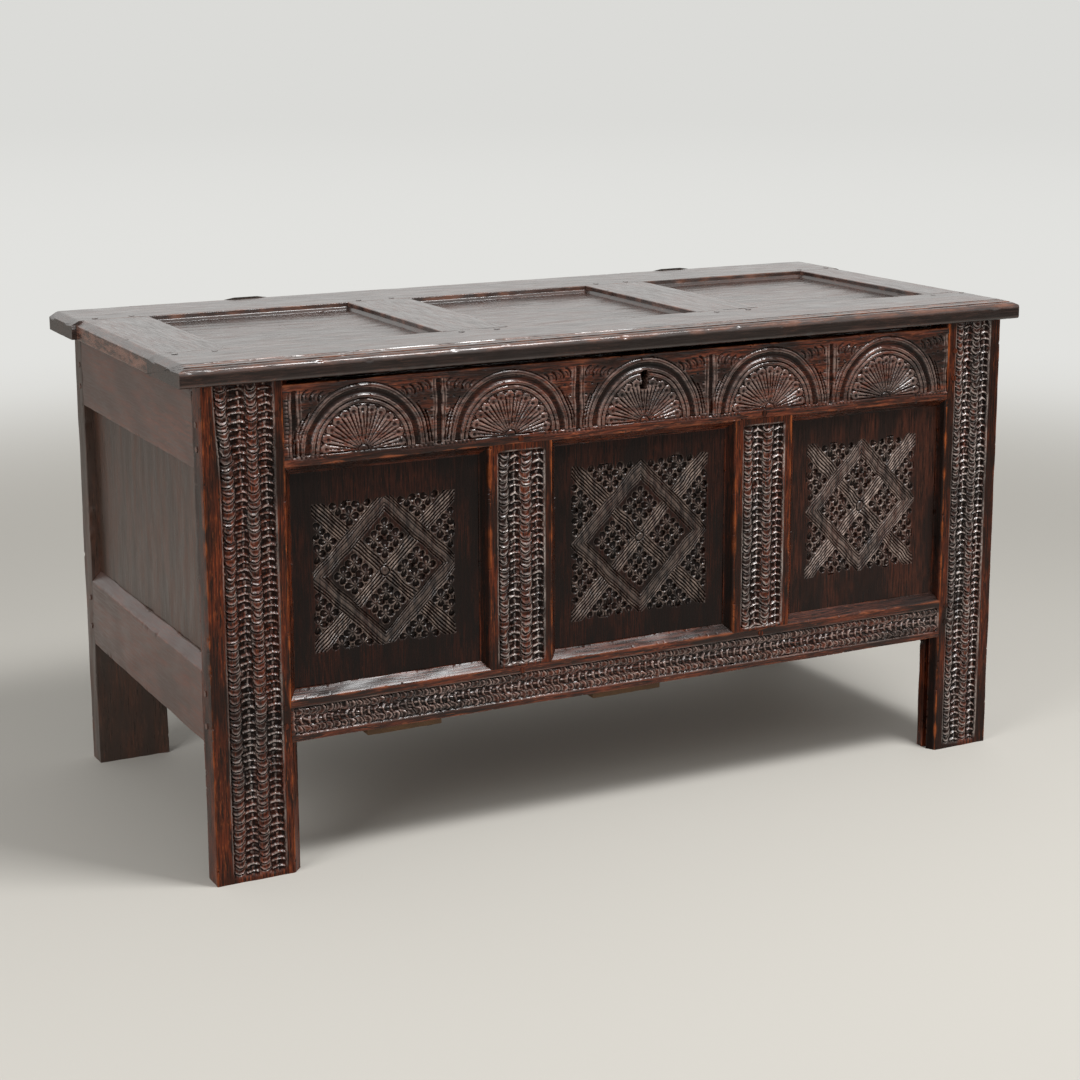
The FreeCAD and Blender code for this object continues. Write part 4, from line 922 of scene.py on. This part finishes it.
# ------------------------------------------------------------- end frames
# Plain planed oak: a rail at top and bottom of each end between the posts, and one wide panel
# with its grain upright.  The lower rail is bevelled to the panel, and rebated underneath.
SIDE_RECESS = 15.0
BOARD = 12.0                               # thickness of the plain panels
TOP_SIGHT = 574.0                          # lower edge of the top rails
BOTTOM_SIGHT = 312.0                       # upper edge of the bottom rails, over the bevel
END_FOOT = 195.0
FRONT_BACK_Y = limits("front_stile_left")[1][1]
REAR_FRONT_Y = limits("rear_stile_left")[0][1]
FRAME_TOP = limits("front_top_rail")[1][2]
END_UPRIGHT_OAK = oak("planed_oak_upright", 2, "#33261f", "#54301f", "#7a5040", "#4a3a32", 0.55, 0.32, 0.7,
                      bump=0.0001)
END_RAIL_OAK = oak("planed_oak_rail", 1, "#483731", "#6e463a", "#845a4a", "#4a3a32", 0.55, 0.34, 0.7,
                   bump=0.0001)


def plain(name, body, node, slot, finish, axes, origin, corners, low, high, step, seed, unevenness, worn=(),
          **finer):
    piece = member(name, axes, origin, corners, square_ends(low, high), stations([low, high], [step]), None,
                   worn, seed, unevenness, **finer)
    dress(piece, body, node, finish)


for place, inward in (("left", 1.0), ("right", -1.0)):
    outer = inward * limits("front_stile_left")[0][0]
    into = (inward, 0.0, 0.0)
    corners = [(TOP_SIGHT, 0.0, 1.6, 4.0), (FRAME_TOP, 0.0, 1.6, 9.0), (FRAME_TOP, RAIL_BACK, 1.6, 14.0),
               (TOP_SIGHT, RAIL_BACK, 1.6, 12.0)] + grooved(TOP_SIGHT, SIDE_RECESS, 1.0)[::-1]
    plain("end_top_rail_" + place, "chest", "side_top_rail_" + place, "oak_side", END_RAIL_OAK,
          (Y_AXIS, Z_AXIS, into), (outer, 0.0, 0.0), corners, FRONT_BACK_Y, REAR_FRONT_Y, 4.0, 81, 0.35,
          [(0, 0.5), (1, 0.3)])
    corners = [(END_FOOT, 0.0, 2.0, 4.0), (BOTTOM_SIGHT - 16.0, 0.0, 1.6, 3.0)]
    corners += grooved(BOTTOM_SIGHT, SIDE_RECESS, -1.0)
    corners += [(BOTTOM_SIGHT, RAIL_BACK, 1.6, 14.0), (END_FOOT + 5.0, RAIL_BACK, 0.5, 8.0),
                (END_FOOT + 5.0, 14.0, 0.0, 8.0), (END_FOOT, 14.0, 0.5, 8.0)]
    plain("end_bottom_rail_" + place, "chest", "side_bottom_rail_" + place, "oak_side", END_RAIL_OAK,
          (Y_AXIS, Z_AXIS, into), (outer, 0.0, 0.0), corners, FRONT_BACK_Y, REAR_FRONT_Y, 4.0, 85, 0.35,
          [(0, 0.4), (1, 0.6)])
    low, high = limits("side_panel_" + place)
    plain("end_panel_" + place, "chest", "side_panel_" + place, "oak_side", END_UPRIGHT_OAK,
          (Z_AXIS, Y_AXIS, into), (outer + inward * SIDE_RECESS, 0.0, 0.0),
          feathered(low[1], high[1], BOARD), low[2], high[2], 5.0, 88, 0.2, feather=FEATHER)

# ------------------------------------------------------------ back frame
# The same construction as the front in oak left from the plane, with plain faces and square
# edges.  Two posts, two rails and two muntins hold three boards.
BACK_Y = limits("rear_stile_left")[1][1]
BACK_RECESS = 8.0
POST_WIDE = 113.0
POST_THICK = 38.0
BACK_TOP_SIGHT = 571.0
BACK_BOTTOM_SIGHT = 247.0
BACK_FOOT = 187.0
BACK_MUNTIN_HALF = 48.5
BACK_UPRIGHT_OAK = oak("plain_oak_upright", 2, "#2c221c", "#46301f", "#6a4a34", "#4a3a32", 0.35, 0.45, 0.7)
BACK_LONG_OAK = oak("plain_oak_long", 0, "#2c221c", "#46301f", "#6a4a34", "#4a3a32", 0.35, 0.45, 0.7)
OUT_OF_THE_BACK = (0.0, -1.0, 0.0)
UP_THE_BACK = (Z_AXIS, X_AXIS, OUT_OF_THE_BACK)
ALONG_THE_BACK = (X_AXIS, Z_AXIS, OUT_OF_THE_BACK)

for place, inward in (("left", 1.0), ("right", -1.0)):
    low, high = limits("rear_stile_" + place)
    outer = low[0] if inward > 0 else -high[0]
    sight = outer + POST_WIDE
    corners = [(outer, 0.0, 2.0, 4.0), (sight, 0.0, 2.0, 8.0)] + grooved(sight, BACK_RECESS, -1.0)
    corners += [(sight, POST_THICK, 2.0, 9.0), (outer, POST_THICK, 2.0, 6.0)]
    plain("rear_post_" + place, "chest", "rear_stile_" + place, "oak_back", END_UPRIGHT_OAK,
          (Z_AXIS, (inward, 0.0, 0.0), OUT_OF_THE_BACK), (0.0, BACK_Y, 0.0), corners, 0.0, high[2], 4.0, 91,
          0.35, [(0, 0.6), (1, 0.4)])

back_arris = limits("rear_stile_left")[1][0]
for level_name, sight, outer, inward in (("top", BACK_TOP_SIGHT, FRAME_TOP, 1.0),
                                         ("bottom", BACK_BOTTOM_SIGHT, BACK_FOOT, -1.0)):
    corners = [(outer, 0.0, 1.6, 4.0), (sight, 0.0, 1.6, 8.0)] + grooved(sight, BACK_RECESS, inward)
    corners += [(sight, RAIL_BACK, 1.6, 14.0), (outer, RAIL_BACK, 1.6, 9.0)]
    plain("back_rail_" + level_name, "chest", "back_" + level_name + "_rail", "oak_back", BACK_LONG_OAK,
          ALONG_THE_BACK, (0.0, BACK_Y, 0.0), corners, back_arris, -back_arris, 4.0, 95, 0.35,
          [(0, 0.4), (1, 0.5)])

for place in ("left", "right"):
    low, high = limits("back_muntin_" + place)
    centre = (low[0] + high[0]) / 2.0
    half = BACK_MUNTIN_HALF
    corners = [(-half, 0.0, 1.6, 4.0), (half, 0.0, 1.6, 8.0)] + grooved(half, BACK_RECESS, -1.0)
    corners += [(half, RAIL_BACK, 1.5, 9.0), (-half, RAIL_BACK, 1.5, 9.0)]
    corners += grooved(-half, BACK_RECESS, 1.0)[::-1]
    plain("back_upright_" + place, "chest", "back_muntin_" + place, "oak_back", BACK_UPRIGHT_OAK,
          UP_THE_BACK, (centre, BACK_Y, 0.0), corners, BACK_BOTTOM_SIGHT, BACK_TOP_SIGHT, 4.0, 98, 0.35,
          [(0, 0.5), (1, 0.5)])

for number, place in enumerate(("left", "middle", "right")):
    low, high = limits("back_panel_" + place)
    plain("back_board_" + place, "chest", "back_panel_" + place, "oak_back", BACK_UPRIGHT_OAK, UP_THE_BACK,
          (0.0, high[1], 0.0), feathered(low[0], high[0], BOARD), low[2], high[2], 5.0, 101 + number, 0.5,
          feather=FEATHER)

# --------------------------------------------------------------- the floor
# Three thin boards along the chest and the battens nailed under them, in oak that was never
# waxed, so it is dull and pale brown.
FLOOR_THICK = 13.0
BARE_OAK = oak("bare_oak_board", 0, "#5a4330", "#7a5a3c", "#8a6a4a", "#6a5440", 0.3, 0.70, 0.8)
BARE_CROSS_OAK = oak("bare_oak_batten", 1, "#5a4330", "#7a5a3c", "#8a6a4a", "#6a5440", 0.3, 0.70, 0.8)
for number in (1, 2, 3):
    low, high = limits("floor_board_%d" % number)
    corners = [(low[1], 0.0, 0.8, 6.0), (high[1], 0.0, 0.8, 7.0), (high[1], FLOOR_THICK, 0.8, 12.0),
               (low[1], FLOOR_THICK, 0.8, 7.0)]
    plain("floor_plank_%d" % number, "chest", "floor_board_%d" % number, "oak_floor", BARE_OAK,
          (X_AXIS, Y_AXIS, DOWN), (0.0, 0.0, high[2]), corners, low[0], high[0], 8.0, 110 + number, 0.3)
for place in ("left", "middle"):
    low, high = limits("floor_batten_" + place)
    corners = [(low[0], 0.0, 0.8, 12.0), (high[0], 0.0, 0.8, 7.0), (high[0], FLOOR_THICK, 1.6, 6.0),
               (low[0], FLOOR_THICK, 1.6, 7.0)]
    plain("underside_batten_" + place, "chest", "floor_batten_" + place, "oak_floor", BARE_CROSS_OAK,
          (Y_AXIS, X_AXIS, DOWN), (0.0, 0.0, high[2]), corners, low[1], high[1], 8.0, 115, 0.3)

# ----------------------------------------------------------------- the lid
# A frame of two long rails, two ends and two muntins round three sunk panels, pegged.  The
# front rail has a rounded nose, an ovolo and two scratched beads, and the ends are bevelled.
LID_TOP = 716.0
LID_THICK = 27.5
LID_BEVEL = 14.0
LID_EDGE = 6.5
# Planed smooth and waxed to a shine that mirrors the room.
LID_LONG_OAK = oak("lid_oak_long", 0, "#261b17", "#4c2a1e", "#8a5a44", "#5a4a40", 0.85, 0.22, 0.6,
                   bump=0.00003)
LID_CROSS_OAK = oak("lid_oak_cross", 1, "#261b17", "#4c2a1e", "#9a6e5e", "#5a4a40", 0.85, 0.22, 0.6,
                    bump=0.00003)
ALONG_THE_LID = (X_AXIS, Y_AXIS, DOWN)
ACROSS_THE_LID = (Y_AXIS, X_AXIS, DOWN)
OPENING_FRONT = 128.0                      # the panels' opening, from the front's plane
OPENING_BACK = 480.0
OPENING_LEFT = -567.0
OPENING_RIGHT = 597.0
TOE = 5.0                                  # the openings' sides are upright for TOE_TOP, and
TOE_TOP = 7.0                              # then slope out by TOE, down to TOE_FOOT
TOE_FOOT = 11.0


def bevelled(half):
    """Ends bevelled at the top, over LID_BEVEL of length and LID_EDGE of depth."""
    def ends(depth):
        over = LID_BEVEL * np.clip(1.0 - depth / LID_EDGE, 0.0, 1.0)
        return -half + over, half - over
    return ends


def over_the_rails(depth):
    """Ends scribed to the long rails' edges."""
    toe = TOE * np.clip((depth - TOE_TOP) / (TOE_FOOT - TOE_TOP), 0.0, 1.0)
    return OPENING_FRONT + toe, OPENING_BACK - toe


def right_edge(x):
    """The corners of an opening's side at x on a member to its left, from the top down."""
    return [(x, 0.0, 1.6, 3.0), (x, TOE_TOP, 1.0, 2.0), (x + TOE, TOE_FOOT, 0.6, 8.0),
            (x + TOE, LID_THICK, 0.6, 12.0)]


def left_edge(x):
    """The same on a member to its right, from the bottom up to the corner at TOE_TOP."""
    return [(x - TOE, LID_THICK, 0.6, 8.0), (x - TOE, TOE_FOOT, 0.6, 2.0), (x, TOE_TOP, 1.0, 3.0)]


# From the inner bead to the opening, under the rail, up the nose, over the ovolo and past the
# two beads.
corners = [(25.5, 0.0, 0.4, 3.0)] + right_edge(OPENING_FRONT)[:3] + [
    (OPENING_FRONT + TOE, LID_THICK, 0.6, 10.0), (-4.5, LID_THICK, 1.5, 3.0), (-7.0, 25.0, 1.2, 2.0),
    (-7.0, 9.0, 1.2, 2.0), (-5.4, 5.5, 1.0, 1.2), (-2.2, 2.8, 1.2, 1.2), (3.0, 2.2, 0.4, 1.0),
    (3.0, 3.2, 0.0, 1.0), (5.0, 3.2, 0.0, 1.0), (5.0, 1.2, 0.4, 2.5), (14.0, 0.8, 0.4, 1.0),
    (15.0, 2.0, 0.2, 1.0), (16.5, 0.7, 0.4, 2.5), (23.0, 0.5, 0.4, 1.0), (24.0, 1.8, 0.2, 1.0)]
half = limits("lid_front_rail")[1][0]
# The fascia under the nose is painted dark, darkest toward its foot.
piece = member("lid_rail_front", ALONG_THE_LID, (0.0, FRONT_Y, LID_TOP), corners, bevelled(half),
               stations([-half, half], [4.0]), None,
               [(1, 0.5), (8, 0.5), (9, 0.5), (13, 0.8), (16, 0.8), (18, 0.6)], 121, 0.12, 0.7,
               wear_reach=3.0, ripple=0.008, shaded_and_grimy=[(5, 0.7), (6, 0.6), (7, 0.4)])
dress(piece, "lid", "lid_front_rail", LID_LONG_OAK)

LID_BACK = 600.0
corners = [(OPENING_BACK, 0.0, 1.6, 3.0), (LID_BACK, 0.0, 2.0, 6.0), (LID_BACK, LID_THICK, 1.6, 12.0)]
corners += left_edge(OPENING_BACK)
half = limits("lid_back_rail")[1][0]
piece = member("lid_rail_back", ALONG_THE_LID, (0.0, FRONT_Y, LID_TOP), corners, bevelled(half),
               stations([-half, half], [4.5]), None, [(0, 0.7), (1, 0.3)], 125, 0.12, 0.5, ripple=0.008)
dress(piece, "lid", "lid_back_rail", LID_LONG_OAK)


def lid_cross(name, node, corners, worn, seed, bare=()):
    """A piece of the lid's frame between the two long rails."""
    piece = member(name, ACROSS_THE_LID, (0.0, FRONT_Y, LID_TOP), corners, over_the_rails,
                   stations([OPENING_FRONT, OPENING_BACK], [3.0]), None, worn, seed, 0.12, 0.6, ripple=0.008,
                   bare=bare)
    dress(piece, "lid", node, LID_CROSS_OAK)


end = limits("lid_front_rail")[1][0]
# The end pieces' outer faces are given the rubbed colour all over, which makes them lighter.
lid_cross("lid_end_piece_left", "lid_end_left",
          [(-end + LID_BEVEL, 0.0, 0.8, 3.0)] + right_edge(OPENING_LEFT)
          + [(-end, LID_THICK, 1.4, 4.0), (-end, LID_EDGE, 1.0, 3.0)],
          [(0, 0.3), (1, 0.5), (5, 0.3), (6, 0.4)], 131, [(5, 0.5)])
lid_cross("lid_end_piece_right", "lid_end_right",
          [(OPENING_RIGHT, 0.0, 1.6, 3.0), (end - LID_BEVEL, 0.0, 0.8, 3.0), (end, LID_EDGE, 1.0, 4.0),
           (end, LID_THICK, 1.4, 12.0)] + left_edge(OPENING_RIGHT),
          [(0, 0.5), (1, 0.3), (2, 0.4), (3, 0.3)], 134, [(2, 0.5)])
for place, left, right, seed in (("left", -247.0, -142.0, 137), ("right", 175.0, 285.0, 141)):
    lid_cross("lid_upright_" + place, "lid_muntin_" + place,
              [(left, 0.0, 1.6, 3.0)] + right_edge(right) + left_edge(left), [(0, 0.6), (1, 0.6)], seed)

for number, place in enumerate(("left", "middle", "right")):
    low, high = limits("lid_panel_" + place)
    plain("lid_board_" + place, "lid", "lid_panel_" + place, "oak_lid", LID_LONG_OAK, ALONG_THE_LID,
          (0.0, 0.0, high[2]), feathered(low[1], high[1], BOARD), low[0], high[0], 5.0, 145 + number, 0.2,
          feather=FEATHER, ripple=0.008)

# -------------------------------------------------------- pegs, nails, iron
# Riven oak pegs hold the tenons, and the hinges, lock and nails are forged iron, with hammer
# dents 6 mm apart and spots of scale 2.4 mm apart.
forged = material("forged_iron_oxide")     # black scale, worn to grey on the high spots
tree = forged.node_tree
where = add(tree, "ShaderNodeTexCoord", {}).outputs["Object"]
dents = add(tree, "ShaderNodeTexNoise", {"Vector": where, "Scale": 160.0, "Detail": 3.0}).outputs["Fac"]
scale_spots = add(tree, "ShaderNodeTexNoise", {"Vector": where, "Scale": 420.0, "Detail": 5.0}).outputs["Fac"]
spots = add(tree, "ShaderNodeMapRange", {0: scale_spots, 1: 0.42, 2: 0.62}, interpolation_type="SMOOTHSTEP")
colour = add(tree, "ShaderNodeMix", {0: spots.outputs[0], 6: tone("#26221f"), 7: tone("#5a524c")},
             data_type="RGBA")
bumped = add(tree, "ShaderNodeBump", {"Strength": 1.0, "Distance": 0.0004, "Height": dents})
iron = add(tree, "ShaderNodeBsdfPrincipled", {"Base Color": colour.outputs[2], "Metallic": 0.85,
                                              "Roughness": 0.48, "Normal": bumped.outputs[0]})
add(tree, "ShaderNodeOutputMaterial", {"Surface": iron.outputs[0]})

for name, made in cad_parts.items():
    if made.hide_render:
        continue
    if name == "front_pegs":
        finish = FRONT_UPRIGHT_OAK
    elif name == "lid_pegs":
        finish = LID_CROSS_OAK
    elif name.endswith("_pegs"):
        finish = END_RAIL_OAK
    else:
        finish = forged
    made.data.materials.clear()
    made.data.materials.append(finish)
